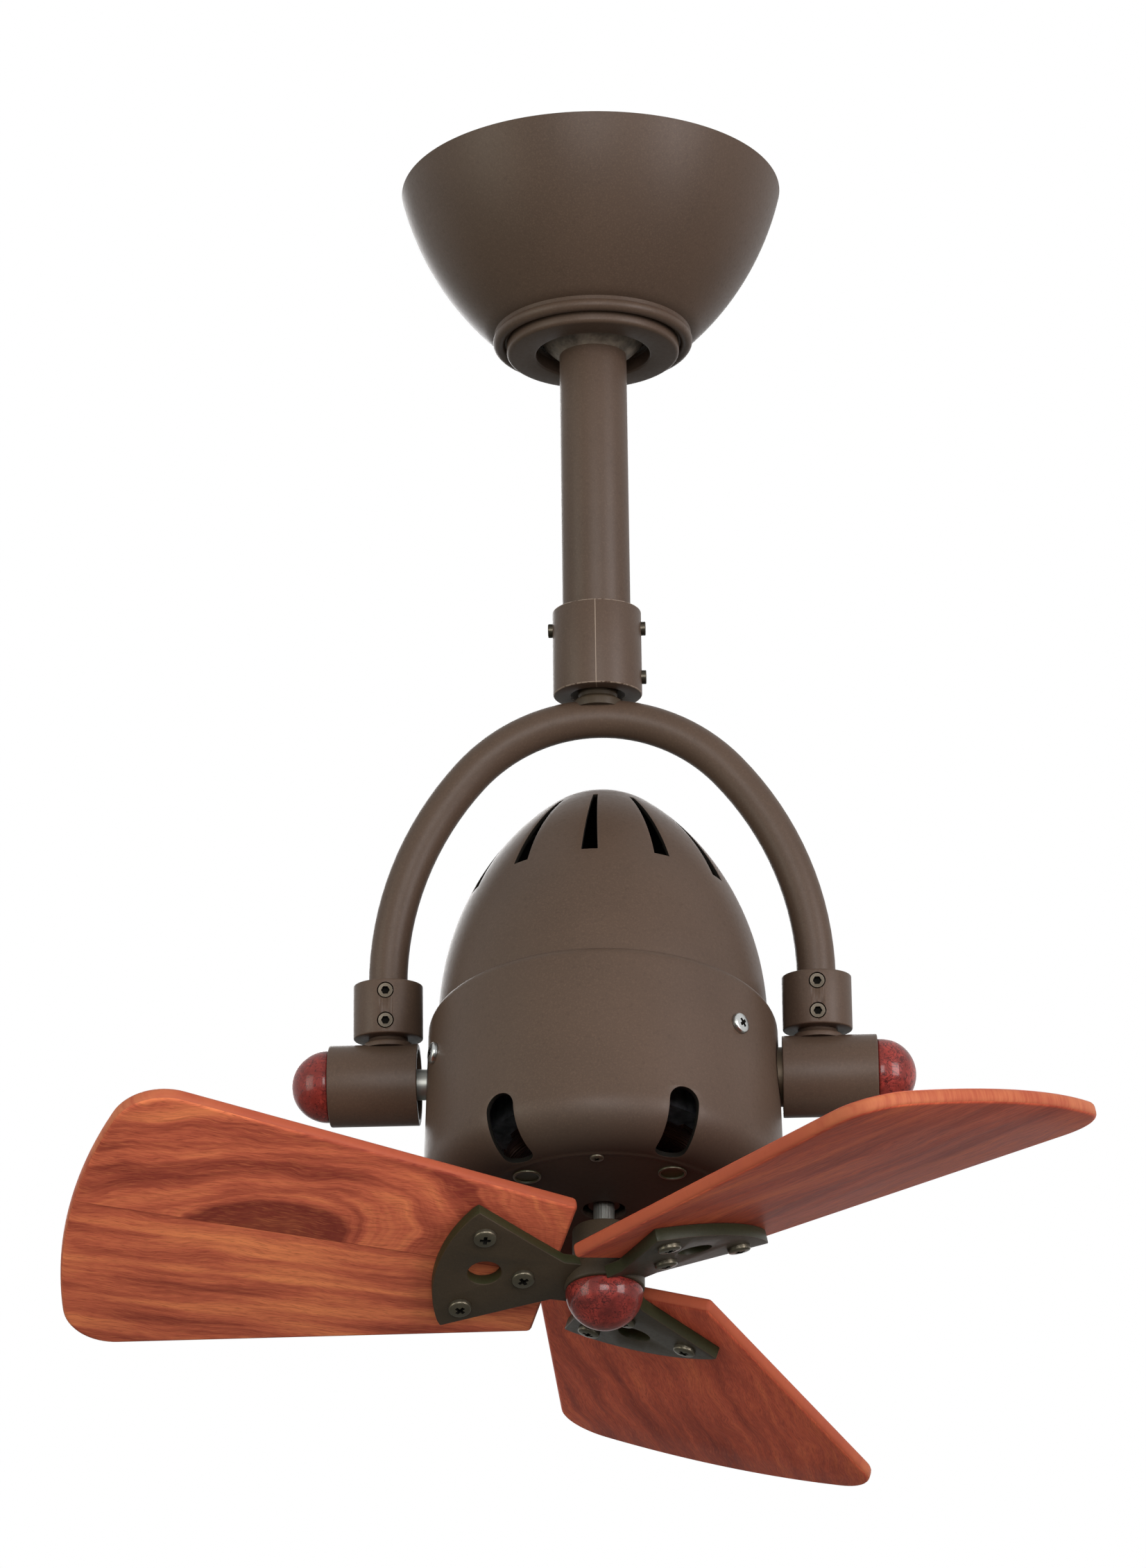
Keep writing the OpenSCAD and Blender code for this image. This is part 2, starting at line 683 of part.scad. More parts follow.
// Half section of the dome: its skirt inside the cup's lip, its side curve, and its tip, which laps a little
// over the line where both curves are tangent
module dome_area(gain) {
  far = dome_d;
  // Where skirt and side differ in radius, a flat step as thick as the wall joins them
  step_below = gain < 0 && dome_foot_r < skirt_r ? dome_wall : 0;
  step_above = gain < 0 && dome_foot_r > skirt_r ? dome_wall : 0;
  tip = [0, dome_tip_h];
  along = [cos(dome_join_a), sin(dome_join_a)];
  join_end = tip + far * along;
  lap = dome_lap * [along[1], -along[0]];
  translate([0, -tab_half]) square([skirt_r + gain, dome_foot_h + tab_half - step_below]);
  translate([0, -tab_half])
    square([min(skirt_r, dome_foot_r) + gain, dome_foot_h + tab_half + step_above]);
  intersection() {
    translate(dome_side_c) circle(r = dome_side_r + gain, $fn = 240);
    polygon([[0, dome_foot_h + step_above], [far, dome_foot_h + step_above], join_end, tip]);
  }
  intersection() {
    translate(tip) circle(r = dome_tip_r + gain, $fn = 120);
    polygon([tip, tip + lap, join_end + lap, tip + [0, far]]);
  }
}

skirt_z = 14;
module motor_dome() {
  color(bronze) at_head() difference() {
    rotate_extrude() difference() {
      dome_area(0);
      dome_area(-dome_wall);
      translate([-1, -tab_half - 1]) square([skirt_r - dome_wall + 1, tab_half + 2]);
    }
    difference() {
      translate([0, 0, -tab_half - 1]) cylinder(h = skirt_z + tab_half + 1, r = skirt_r + 1);
      for (turn = screw_turns) rotate([0, 0, turn])
        translate([0, -tab_half, -tab_half - 2]) cube([dome_d, 2 * tab_half, skirt_z + tab_half + 4]);
    }
    for (k = [0:dome_vents - 1]) rotate([0, 0, dome_vent_turn + 360 * k / dome_vents])
      translate([dome_vent_in, 0, 0]) rotate([90, 0, 90]) linear_extrude(dome_foot_r)
        polygon([[-dome_vent_w[0] / 2, dome_vent_low], [dome_vent_w[0] / 2, dome_vent_low],
                 [dome_vent_w[1] / 2, dome_vent_high], [-dome_vent_w[1] / 2, dome_vent_high]]);
    for (turn = screw_turns) rotate([0, 0, turn]) translate([0, 0, housing_screw_h])
      rod_x(skirt_r - 6, skirt_r + 2, housing_shank_r + loose_gap);
  }
}

cup_vent_turn = 58;
cup_vent_top = -34.5;
cup_vent_in = 51.4;
floor_hole_r = 8;
bearing_r = 11;
bearing_t = 7;
bearing_z = -cup_depth + cup_wall;
plug_ring_r = 41.7;
plug_turns = [229, 309.6];
plug_r = 5.3;
bottom_screw_turn = 269;
bottom_screw_ring_r = 46.7;
bottom_screw_shank_r = 1.4;

module motor_cup() {
  lip_c = [cup_top_r - lip_r, cup_rise];
  edge_c = [cup_r - cup_edge_r, cup_edge_z];
  lip_end_a = acos((lip_r - lip_cover) / lip_r);
  boss_h = boss_r + 1;
  color(bronze) at_head() difference() {
    union() {
      rotate_extrude() polygon(concat(
        [[0, -cup_depth]],
        arc(edge_c, cup_edge_r, -90, 0, 8),
        arc(lip_c, lip_r, 0, lip_end_a, 6),
        [[lip_in, skirt_z - 1], [cup_top_r - cup_wall, skirt_z - 2]],
        arc(edge_c, cup_edge_r - cup_wall, 0, -90, 8),
        [[0, cup_wall - cup_depth]]));
      translate([0, 0, bearing_z - 0.5]) cylinder(h = bearing_t + 1.5, r = bearing_r + 3);
      intersection() {
        translate([0, 0, -boss_h]) cylinder(h = 2 * boss_h,
          r1 = cup_side_r(-boss_h) - cup_wall / 2, r2 = cup_side_r(boss_h) - cup_wall / 2);
        union() {
          rod_x(boss_in, head_r, boss_r);
          rod_x(-head_r, -boss_in, boss_r);
        }
      }
    }
    translate([0, 0, -cup_depth - 1]) cylinder(h = cup_wall + 2, r = floor_hole_r);
    translate([0, 0, bearing_z]) cylinder(h = bearing_t + 3, r = bearing_r + press_gap);
    rod_x(boss_in - 1, head_r + 1, drive_r + press_gap);
    rod_x(-head_r - 1, -boss_in + 1, pivot_r + bush_wall + press_gap);
    for (turn = screw_turns) rotate([0, 0, turn]) translate([0, 0, housing_screw_h])
      rod_x(skirt_r - 4, head_r + 2, housing_shank_r + loose_gap);
    for (turn = plug_turns) rotate([0, 0, turn]) translate([plug_ring_r, 0, -cup_depth - 1])
      cylinder(h = cup_wall + 2, r = plug_r - 0.9);
    rotate([0, 0, bottom_screw_turn]) translate([bottom_screw_ring_r, 0, -cup_depth - 1])
      cylinder(h = cup_wall + 2, r = bottom_screw_shank_r + press_gap);
    for (k = [0:cup_vents - 1]) rotate([0, 0, cup_vent_turn + 360 * k / cup_vents]) {
      mid_z = cup_vent_top - cup_vent_w / 2;
      mid_r = cup_vent_in + cup_vent_w / 2;
      translate([0, 0, mid_z]) rod_x(mid_r, head_r + 2, cup_vent_w / 2);
      translate([mid_r, 0, -cup_depth - 1]) cylinder(h = cup_depth + 1 + mid_z, r = cup_vent_w / 2);
      translate([mid_r, -cup_vent_w / 2, -cup_depth - 1]) cube([cup_r, cup_vent_w, cup_depth + 1 + mid_z]);
    }
  }
}

housing_head_r = 3.35;
housing_head_h = 2;
module housing_screws() {
  seat_r = cup_side_r(housing_screw_h) + touch_gap;
  shank_end = stator_r + 4;
  color(bright_steel) at_head() for (turn = screw_turns)
    rotate([0, 0, turn]) translate([seat_r, 0, housing_screw_h]) rotate([0, -90, 0])
      pan_screw(housing_shank_r, seat_r - shank_end, housing_head_r, housing_head_h);
}

module bottom_plugs() {
  color(dark_steel) at_head() for (turn = plug_turns)
    rotate([0, 0, turn]) translate([plug_ring_r, 0, -cup_depth]) difference() {
      union() {
        translate([0, 0, -0.8]) cylinder(h = 0.8, r = plug_r);
        translate([0, 0, -0.4]) cylinder(h = cup_wall + 1.4, r = plug_r - 0.9 - press_gap);
      }
      translate([0, 0, -1]) cylinder(h = 0.6, r = plug_r - 1);
    }
}

module bottom_screw() {
  color(dark_steel) at_head() rotate([0, 0, bottom_screw_turn])
    translate([bottom_screw_ring_r, 0, -cup_depth])
      pan_screw(bottom_screw_shank_r, cup_wall + 2, 2.6, 1.2);
}

// Motor: stator, its frame, bearings and rotor
stator_r = stator_d / 2;
stator_z = -stator_len;
frame_top = 6;
frame_r = stator_r + 3.4;
air_gap = 0.5;
yoke_t = 8;

module motor_frame() {
  color(iron) at_head() difference() {
    union() {
      translate([0, 0, -14]) cylinder(h = 14 + frame_top, r = frame_r);
      intersection() {
        translate([0, 0, -tab_half]) cylinder(h = 2 * tab_half, r = skirt_r - dome_wall - touch_gap);
        for (turn = screw_turns) rotate([0, 0, turn]) translate([0, -tab_half, -tab_half + 0.2])
          cube([dome_d, 2 * tab_half, 2 * tab_half - 0.4]);
      }
    }
    translate([0, 0, -20]) cylinder(h = 40, r = stator_r + press_gap);
    for (turn = screw_turns) rotate([0, 0, turn]) translate([0, 0, housing_screw_h])
      rod_x(stator_r - 1, skirt_r + 1, housing_shank_r + run_gap);
  }
}

slot_in_r = rotor_d / 2 + air_gap + 3;
slot_out_r = stator_r - yoke_t;
slot_w = min(7, slot_in_r * 2 * sin(180 / stator_slots) - 4);
module stator_core() {
  color(iron) at_head() translate([0, 0, stator_z]) difference() {
    cylinder(h = stator_len, r = stator_r);
    translate([0, 0, -1]) cylinder(h = stator_len + 2, r = rotor_d / 2 + air_gap);
    for (k = [0:stator_slots - 1]) rotate([0, 0, 360 * k / stator_slots])
      translate([slot_in_r, -slot_w / 2, -1]) cube([slot_out_r - slot_in_r, slot_w, stator_len + 2]);
  }
}

module stator_windings() {
  in_r = slot_in_r + loose_gap;
  out_r = slot_out_r - loose_gap;
  turn_h = 8;
  round_r = min(turn_h, out_r - in_r) * 0.4;
  color(copper) at_head() {
    for (z = [stator_z - turn_h - 0.2, 0.2]) translate([0, 0, z]) rotate_extrude()
      polygon(concat(
        arc([out_r - round_r, round_r], round_r, -90, 0, 4),
        arc([out_r - round_r, turn_h - round_r], round_r, 0, 90, 4),
        arc([in_r + round_r, turn_h - round_r], round_r, 90, 180, 4),
        arc([in_r + round_r, round_r], round_r, 180, 270, 4)));
    for (k = [0:stator_slots - 1]) rotate([0, 0, 360 * k / stator_slots])
      translate([in_r, loose_gap - slot_w / 2, stator_z - 1.5])
        cube([out_r - in_r, slot_w - 2 * loose_gap, stator_len + 3]);
  }
}

plate_z = frame_top + 5;
seat_z = plate_z + 2.5;
module bearing_plate() {
  color(iron) at_head() difference() {
    union() {
      translate([0, 0, frame_top]) cylinder(h = seat_z - frame_top, r = frame_r);
      translate([0, 0, seat_z - 1]) cylinder(h = bearing_t + 1, r = bearing_r + 3);
    }
    translate([0, 0, frame_top - 1]) cylinder(h = plate_z - frame_top + 1, r = stator_r);
    translate([0, 0, frame_top]) cylinder(h = 10, r = bearing_r - 2);
    translate([0, 0, seat_z]) cylinder(h = bearing_t + 2, r = bearing_r + press_gap);
  }
}

race_in_r = shaft_d / 2 + 2;
race_out_r = bearing_r - 2;
module bearing(z) {
  ball_ring_r = (race_in_r + race_out_r) / 2;
  bead = (race_out_r - race_in_r) / 2 - run_gap;
  at_head() translate([0, 0, z]) {
    difference() {
      cylinder(h = bearing_t, r = bearing_r);
      translate([0, 0, -1]) cylinder(h = bearing_t + 2, r = race_out_r);
    }
    for (k = [0:6]) rotate([0, 0, 360 * k / 7]) translate([ball_ring_r, 0, bearing_t / 2]) sphere(r = bead);
    translate([0, 0, bearing_t / 2 - 0.5]) difference() {
      cylinder(h = 1, r = ball_ring_r + 0.4);
      translate([0, 0, -1]) cylinder(h = 3, r = ball_ring_r - 0.4);
    }
  }
}
module upper_bearing() { color(bright_steel) bearing(seat_z); }
module lower_bearing() { color(bright_steel) bearing(bearing_z); }

capacitor_size = [22, 32, 26];
module run_capacitor() {
  color(plastic) at_head() translate([bearing_r + 5, -capacitor_size[1] / 2, seat_z]) cube(capacitor_size);
}

module rotor_core() {
  color(iron) at_rotor() difference() {
    union() {
      translate([0, 0, stator_z]) cylinder(h = stator_len, r = rotor_d / 2);
      translate([0, 0, stator_z - 3]) cylinder(h = stator_len + 6, r = rotor_d / 2 - 4);
    }
    translate([0, 0, stator_z - 4]) cylinder(h = stator_len + 8, r = shaft_d / 2 + press_gap);
  }
}

module bearing_races() {
  color(bright_steel) at_rotor() for (z = [bearing_z, seat_z]) translate([0, 0, z]) difference() {
    cylinder(h = bearing_t, r = race_in_r);
    translate([0, 0, -1]) cylinder(h = bearing_t + 2, r = shaft_d / 2 + press_gap);
  }
}

// Hub, bracket and blades, from the cup's underside downwards
hub_top_z = -cup_depth - shaft_show;
hub_z = hub_top_z - hub_collar_len;
hub_t = 7.9;
hub_foot_z = hub_z - hub_t;
blade_face_z = hub_foot_z + 1.4;
shaft_foot_z = hub_foot_z - 4;
bracket_half_w = bracket_r * 0.49;
bracket_screws = [[bracket_r - 33, 0], [bracket_r - 13.5, 19.8], [bracket_r - 13.5, -19.8]];
bracket_hole = [bracket_r - 18.2, 0];
bracket_hole_r = 6.4;
blade_screw_r = 2;
blade_screw_head_r = 4.35;

module motor_shaft() {
  color(bright_steel) at_rotor() difference() {
    translate([0, 0, shaft_foot_z]) cylinder(h = seat_z + bearing_t + 2 - shaft_foot_z, d = shaft_d);
    for (k = [0:11]) rotate([0, 0, 30 * k])
      translate([shaft_d / 2 - 0.35, -0.3, hub_top_z - 2]) cube([1, 0.6, shaft_show + 1]);
  }
}

module hub_collar() {
  color(bronze) at_rotor() difference() {
    translate([0, 0, hub_z]) cylinder(h = hub_collar_len, d = hub_collar_d);
    translate([0, 0, hub_z - 1]) cylinder(h = hub_collar_len + 2, r = shaft_d / 2 + press_gap);
    translate([0, 0, hub_z + hub_collar_len / 2]) rod_x(0, hub_collar_d, 2 + press_gap);
  }
}

module hub_set_screw() {
  color(dark_steel) at_rotor() translate([0, 0, hub_z + hub_collar_len / 2])
    socket_screw(shaft_d / 2 + touch_gap, hub_collar_d / 2 - 0.3, 2);
}

// Places things on blade k: X outwards, Y across the blade, Z through it from the bracket's underside
module at_blade(k) {
  at_rotor() rotate([0, 0, 120 * k]) translate([0, 0, blade_face_z]) rotate([blade_pitch, 0, 0]) children();
}

neck_half_w = 10.4;
module bracket_outline() {
  difference() {
    intersection() {
      circle(r = bracket_r);
      polygon([[0, -neck_half_w], [hub_d / 2 + 3, -neck_half_w], [bracket_r * 0.46, -bracket_half_w * 0.53],
        [bracket_r * 0.872, -bracket_half_w], [bracket_r, -bracket_half_w * 0.9],
        [bracket_r, bracket_half_w * 0.9], [bracket_r * 0.872, bracket_half_w],
        [bracket_r * 0.46, bracket_half_w * 0.53], [hub_d / 2 + 3, neck_half_w], [0, neck_half_w]]);
    }
    translate(bracket_hole) circle(r = bracket_hole_r);
    for (p = bracket_screws) translate(p) circle(r = blade_screw_r + loose_gap);
  }
}

module blade_bracket() {
  color(bronze) difference() {
    union() {
      for (k = [0:2]) at_blade(k) linear_extrude(bracket_t) bracket_outline();
      at_rotor() translate([0, 0, hub_foot_z]) cylinder(h = hub_t, d = hub_d);
    }
    at_rotor() {
      translate([0, 0, hub_foot_z - 1]) cylinder(h = hub_t + 2, r = shaft_d / 2 + press_gap);
      translate([0, 0, hub_z]) cylinder(h = 10, r = hub_d);
      translate([0, 0, hub_foot_z - 10]) cylinder(h = 10, d = hub_d);
    }
  }
}

// A blade's plan: straight flared edges, a tip arc about the motor's axis and round corners
sweep_r = sweep_d / 2;
edge_c0 = blade_root_w / 2 - blade_root_r * tan(blade_flare);
corner_a = blade_flare + asin((edge_c0 * cos(blade_flare) - blade_corner_r) / (sweep_r - blade_corner_r));
corner_c = (sweep_r - blade_corner_r) * [cos(corner_a), sin(corner_a)];
function blade_edge() = concat([[blade_root_r, blade_root_w / 2]],
  arc(corner_c, blade_corner_r, 90 + blade_flare, corner_a, 10),
  arc([0, 0], sweep_r, corner_a * 0.9, 0, 9));

module blade(k) {
  upper = blade_edge();
  lower = [for (i = [len(upper) - 2:-1:0]) [upper[i][0], -upper[i][1]]];
  color(wood) at_blade(k) translate([0, 0, bracket_t]) difference() {
    linear_extrude(blade_t) polygon(concat(upper, lower));
    for (p = bracket_screws) translate([p[0], p[1], -1]) cylinder(h = blade_t, r = blade_screw_r + press_gap);
  }
}
module blade_1() { blade(0); }
module blade_2() { blade(1); }
module blade_3() { blade(2); }

module blade_screws() {
  color(dark_steel) for (k = [0:2]) at_blade(k) for (p = bracket_screws)
    translate([p[0], p[1], 0]) pan_screw(blade_screw_r, bracket_t + blade_t - 1.4, blade_screw_head_r, 2.2);
}

module hub_cap() {
  color(burl) at_rotor() translate([0, 0, hub_foot_z]) rotate([180, 0, 0])
    knob(cap_d, 0, 0, shaft_d / 2 + press_gap, 4.5);
}

ceiling_bracket();
terminal_block();
canopy();
canopy_screws();
trim_ring();
hanger_ball();
cross_pin();
ball_screw();
downrod();
rod_lead();
coupling_collar();
coupling_screws();
swivel_stem();
thrust_washer();
yoke_arch();
arch_lead();
arch_collar_left();
arch_collar_right();
collar_screws();
trunnion_tube_left();
trunnion_tube_right();
trunnion_shaft();
shaft_clip();
drive_bush();
oscillation_motor();
drive_pinion();
finial_left();
finial_right();
motor_dome();
motor_cup();
housing_screws();
trunnion_bush();
drive_hub();
motor_frame();
stator_core();
stator_windings();
bearing_plate();
upper_bearing();
lower_bearing();
run_capacitor();
bottom_plugs();
bottom_screw();
rotor_core();
motor_shaft();
bearing_races();
hub_collar();
hub_set_screw();
blade_bracket();
blade_1();
blade_2();
blade_3();
blade_screws();
hub_cap();
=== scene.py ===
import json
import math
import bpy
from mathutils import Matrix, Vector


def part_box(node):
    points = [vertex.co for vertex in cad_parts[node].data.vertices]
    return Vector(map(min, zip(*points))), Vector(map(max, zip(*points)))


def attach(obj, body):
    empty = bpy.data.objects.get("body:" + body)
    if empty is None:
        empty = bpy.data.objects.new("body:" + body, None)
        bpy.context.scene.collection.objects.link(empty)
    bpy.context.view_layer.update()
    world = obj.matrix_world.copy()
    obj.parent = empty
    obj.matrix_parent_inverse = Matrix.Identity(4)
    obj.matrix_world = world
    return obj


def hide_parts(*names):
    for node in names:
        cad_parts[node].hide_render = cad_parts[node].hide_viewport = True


bl_info = {
    "name": "Oscillating ceiling fan",
    "version": (1, 0, 0),
    "blender": (4, 5, 0),
    "location": "3D View > Sidebar > Ceiling fan",
    "description": "Turned, cast and wooden pieces, finishes and a studio stage for the ceiling fan",
    "category": "Object",
}

import bmesh
import bpy
from bpy.props import FloatProperty, FloatVectorProperty, IntProperty, PointerProperty
from mathutils import Matrix, Vector

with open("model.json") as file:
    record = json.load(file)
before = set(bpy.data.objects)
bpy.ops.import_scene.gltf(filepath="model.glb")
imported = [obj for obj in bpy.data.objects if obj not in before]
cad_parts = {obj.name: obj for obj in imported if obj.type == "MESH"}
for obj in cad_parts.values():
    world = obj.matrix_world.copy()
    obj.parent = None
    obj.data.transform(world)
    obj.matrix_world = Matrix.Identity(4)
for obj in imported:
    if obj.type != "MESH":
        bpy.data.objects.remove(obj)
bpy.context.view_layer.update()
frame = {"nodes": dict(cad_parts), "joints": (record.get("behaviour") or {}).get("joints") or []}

# Lengths below are millimetres and angles degrees, as on a workshop drawing, unless a name ends in _M
MM = 0.001
JOINTS = {joint["name"]: joint for joint in frame["joints"]}
TRUNNION_Z = JOINTS["head_oscillation"]["pos_m"][2] / MM
MOTOR_AXIS = JOINTS["rotor_spin"]["axis"]
HEAD_TILT = math.degrees(math.atan2(MOTOR_AXIS[1], MOTOR_AXIS[2]))
ROTOR_TURN = 198
BLADE_PITCH = 17.7
BLADE_COUNT = 3


def span(node, axis):
    """Lowest and highest value of a CAD node along one axis, in millimetres."""
    low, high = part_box(node)
    return low[axis] / MM, high[axis] / MM


def turn(angle, axis):
    return Matrix.Rotation(math.radians(angle), 4, axis)


def move(x, y, z):
    return Matrix.Translation((x, y, z))


def metres(matrix):
    """The same placement with its shift in metres."""
    placed = matrix.copy()
    placed.translation = matrix.translation * MM
    return placed


# The CAD's frames, in millimetres, and the one in which each body's pieces are drawn
AT_TRUNNION = move(0, 0, TRUNNION_Z)
AT_HEAD = AT_TRUNNION @ turn(-HEAD_TILT, "X")
AT_ROTOR = AT_HEAD @ turn(ROTOR_TURN, "Z")
FRAMES = {"mount": Matrix(), "rod": Matrix(), "yoke": AT_TRUNNION, "head": AT_HEAD, "rotor": AT_ROTOR}

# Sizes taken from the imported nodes
CANOPY_R = span("canopy", 0)[1]
RING_R = span("trim_ring", 0)[1]
RING_FOOT, CANOPY_FLOOR = span("trim_ring", 2)
ROD_R = span("downrod", 0)[1]
ROD_FOOT, ROD_TOP = span("downrod", 2)
COUPLING_R = span("coupling_collar", 0)[1]
COUPLING_FOOT, COUPLING_TOP = span("coupling_collar", 2)
COLLAR_START, COLLAR_END = span("arch_collar_left", 0)
COLLAR_R = (COLLAR_END - COLLAR_START) / 2
ARCH_HALF = -(COLLAR_START + COLLAR_END) / 2
COLLAR_FOOT, COLLAR_TOP = [z - TRUNNION_Z for z in span("arch_collar_left", 2)]
COLLAR_SCREWS_Z = [(COLLAR_FOOT + COLLAR_TOP) / 2 + shift for shift in (6, -5.8)]
ARCH_TUBE_R = span("yoke_arch", 1)[1]
ARCH_APEX = span("yoke_arch", 2)[1] - TRUNNION_Z - ARCH_TUBE_R
TUBE_R = span("trunnion_tube_left", 1)[1]
FINIAL_R = span("finial_left", 1)[1]
LEFT_TUBE = span("trunnion_tube_left", 0)
RIGHT_TUBE = span("trunnion_tube_right", 0)

# Sizes of the drawing that no box gives
ROD_HOLE_R = 22.7
BALL_DROP = -JOINTS["rod_swing"]["pos_m"][2] / MM
BALL_R = 25
CROWN_R = 67.8
TUBE_WALL = 2.2
COLLAR_HOLE_R = 3.25
CUP_R = 68.3
CUP_TOP_R = 67.3
CUP_RISE = 18.5
CUP_DEPTH = 55
CUP_EDGE_R = 16
CUP_SIDE = CUP_RISE + CUP_DEPTH - CUP_EDGE_R
CUP_WALL = 2
# Height in the motor head's frame below which the underside's painted shade is full
UNDERSIDE_SHADE_M = (0.5 - CUP_DEPTH) * MM
LIP_R = 4.5
LIP_COVER = 3.5
DOME_R = 63.5
DOME_FOOT = 25
DOME_SIDE_R = 122
DOME_TIP_R = 35
DOME_WALL = 1.5
SHAFT_R = 4
BORE_R = SHAFT_R + 0.05
HUB_TOP = -63.6
HUB_Z = -80
HUB_FOOT = -87.9
HUB_R = 15.2
HUB_COLLAR_R = 12
BLADE_FACE = -86.5
BRACKET_T = 5
BRACKET_R = 64.5
BLADE_T = 5.5
BRACKET_SCREWS = ((31.5, 0), (51, 19.8), (51, -19.8))
CAP_R = 14.6

# Edges that meet at less than this are shaded smooth
SMOOTH_BELOW = 40


def at_blade(k):
    """Blade k on the rotor: X outwards, Y across, Z through it from the bracket's underside."""
    return turn(360 / BLADE_COUNT * k, "Z") @ move(0, 0, BLADE_FACE) @ turn(BLADE_PITCH, "X")


def srgb(red, green, blue):
    """A colour written as 0 to 255 on screen, as the linear numbers that shaders take."""
    def linear(v):
        v = v / 255
        return v / 12.92 if v <= 0.04045 else ((v + 0.055) / 1.055) ** 2.4
    return (linear(red), linear(green), linear(blue))


def shade(colour, factor):
    """A colour made darker or lighter."""
    return tuple(min(1, v * factor) for v in colour)


class FanSizes(bpy.types.PropertyGroup):
    edge_soft: FloatProperty(
        name="Edge softness", description="Rounding of turned and cast edges",
        default=0.6 * MM, min=0.1 * MM, max=1.5 * MM, unit="LENGTH")
    blade_edge: FloatProperty(
        name="Blade edge", description="Rounding of the blades' edges",
        default=1.8 * MM, min=0.2 * MM, max=2.5 * MM, unit="LENGTH")
    knob_swell: FloatProperty(
        name="Knob shoulder", description="Radius at the foot of the turned knobs",
        default=0.8 * MM, min=0.2 * MM, max=2 * MM, unit="LENGTH")
    turn_steps: IntProperty(
        name="Turning steps", description="Facets round a turned piece",
        default=96, min=32, max=180)


class FanColours(bpy.types.PropertyGroup):
    bronze: FloatVectorProperty(
        name="Bronze coat", description="Satin coat of canopy, rod, yoke and motor head",
        subtype="COLOR", size=3, default=srgb(73, 58, 48), min=0, max=1)
    bronze_dark: FloatVectorProperty(
        name="Dark bronze", description="Coat of the blade bracket, hub and trim ring",
        subtype="COLOR", size=3, default=srgb(56, 46, 35), min=0, max=1)
    wood_light: FloatVectorProperty(
        name="Wood, light", description="Light grain of the blades",
        subtype="COLOR", size=3, default=srgb(232, 136, 88), min=0, max=1)
    wood_mid: FloatVectorProperty(
        name="Wood, middle", description="Body colour of the blades",
        subtype="COLOR", size=3, default=srgb(195, 98, 71), min=0, max=1)
    wood_dark: FloatVectorProperty(
        name="Wood, dark", description="Dark grain of the blades",
        subtype="COLOR", size=3, default=srgb(136, 59, 46), min=0, max=1)
    burl: FloatVectorProperty(
        name="Burl", description="Lacquered burl of the knobs",
        subtype="COLOR", size=3, default=srgb(128, 46, 40), min=0, max=1)
    bright_steel: FloatVectorProperty(
        name="Bright steel", description="Plated screws and shafts",
        subtype="COLOR", size=3, default=srgb(190, 192, 190), min=0, max=1)
    dark_steel: FloatVectorProperty(
        name="Dark steel", description="Blackened screws",
        subtype="COLOR", size=3, default=srgb(66, 60, 50), min=0, max=1)


def sizes():
    return bpy.context.scene.fan_sizes


def colours():
    return bpy.context.scene.fan_colours


def softness():
    return sizes().edge_soft / MM


class Sock:
    """A shader value that adds, multiplies and compares like a number."""

    def __init__(self, shader, out):
        self.shader, self.out = shader, out

    def node(self, *kind, **inputs):
        return self.shader.node(*kind, **inputs)

    def maths(self, operation, *values):
        return self.node("ShaderNodeMath", {"operation": operation}, dict(enumerate(values)))

    def __add__(self, other):
        return self.maths("ADD", self, other)

    __radd__ = __add__

    def __sub__(self, other):
        return self.maths("SUBTRACT", self, other)

    def __rsub__(self, other):
        return self.maths("SUBTRACT", other, self)

    def __mul__(self, other):
        return self.maths("MULTIPLY", self, other)

    __rmul__ = __mul__

    def __gt__(self, other):
        return self.maths("GREATER_THAN", self, other)

    def __lt__(self, other):
        return self.maths("LESS_THAN", self, other)

    def __abs__(self):
        return self.maths("ABSOLUTE", self)

    def root(self):
        return self.maths("SQRT", self)

    def sine(self):
        return self.maths("SINE", self)

    def vector(self, operation, other):
        return self.node("ShaderNodeVectorMath", {"operation": operation}, {0: self, 1: other})

    def split(self):
        made = self.node("ShaderNodeSeparateXYZ", inputs={"Vector": self})
        return [Sock(self.shader, out) for out in made.out.node.outputs]

    def noise(self, scale, detail, roughness=0.55, distortion=0):
        """Noise over these coordinates, with one scale or a scale for each axis."""
        if isinstance(scale, tuple):
            return self.vector("MULTIPLY", scale).noise(1, detail, roughness, distortion)
        return self.node("ShaderNodeTexNoise", inputs={
            "Vector": self, "Scale": scale, "Detail": detail, "Roughness": roughness,
            "Distortion": distortion})

    def ramp(self, stops):
        made = self.node("ShaderNodeValToRGB", inputs={"Fac": self})
        elements = made.out.node.color_ramp.elements
        while len(elements) < len(stops):
            elements.new(1)
        for element, (place, colour) in zip(elements, stops):
            element.position = place
            element.color = (*colour, 1)
        return made

    def levels(self, low, high):
        """Rescaled so that low becomes 0 and high becomes 1, clamped."""
        return self.node("ShaderNodeMapRange", inputs={"Value": self, "From Min": low, "From Max": high})

    def mix(self, first, second):
        """The first colour where this is 0, the second where it is 1."""
        return self.node("ShaderNodeMix", {"data_type": "RGBA"}, {0: self, 6: first, 7: second}, out=2)

    def bump(self, distance, strength):
        return self.node("ShaderNodeBump", inputs={
            "Height": self, "Distance": distance, "Strength": strength})


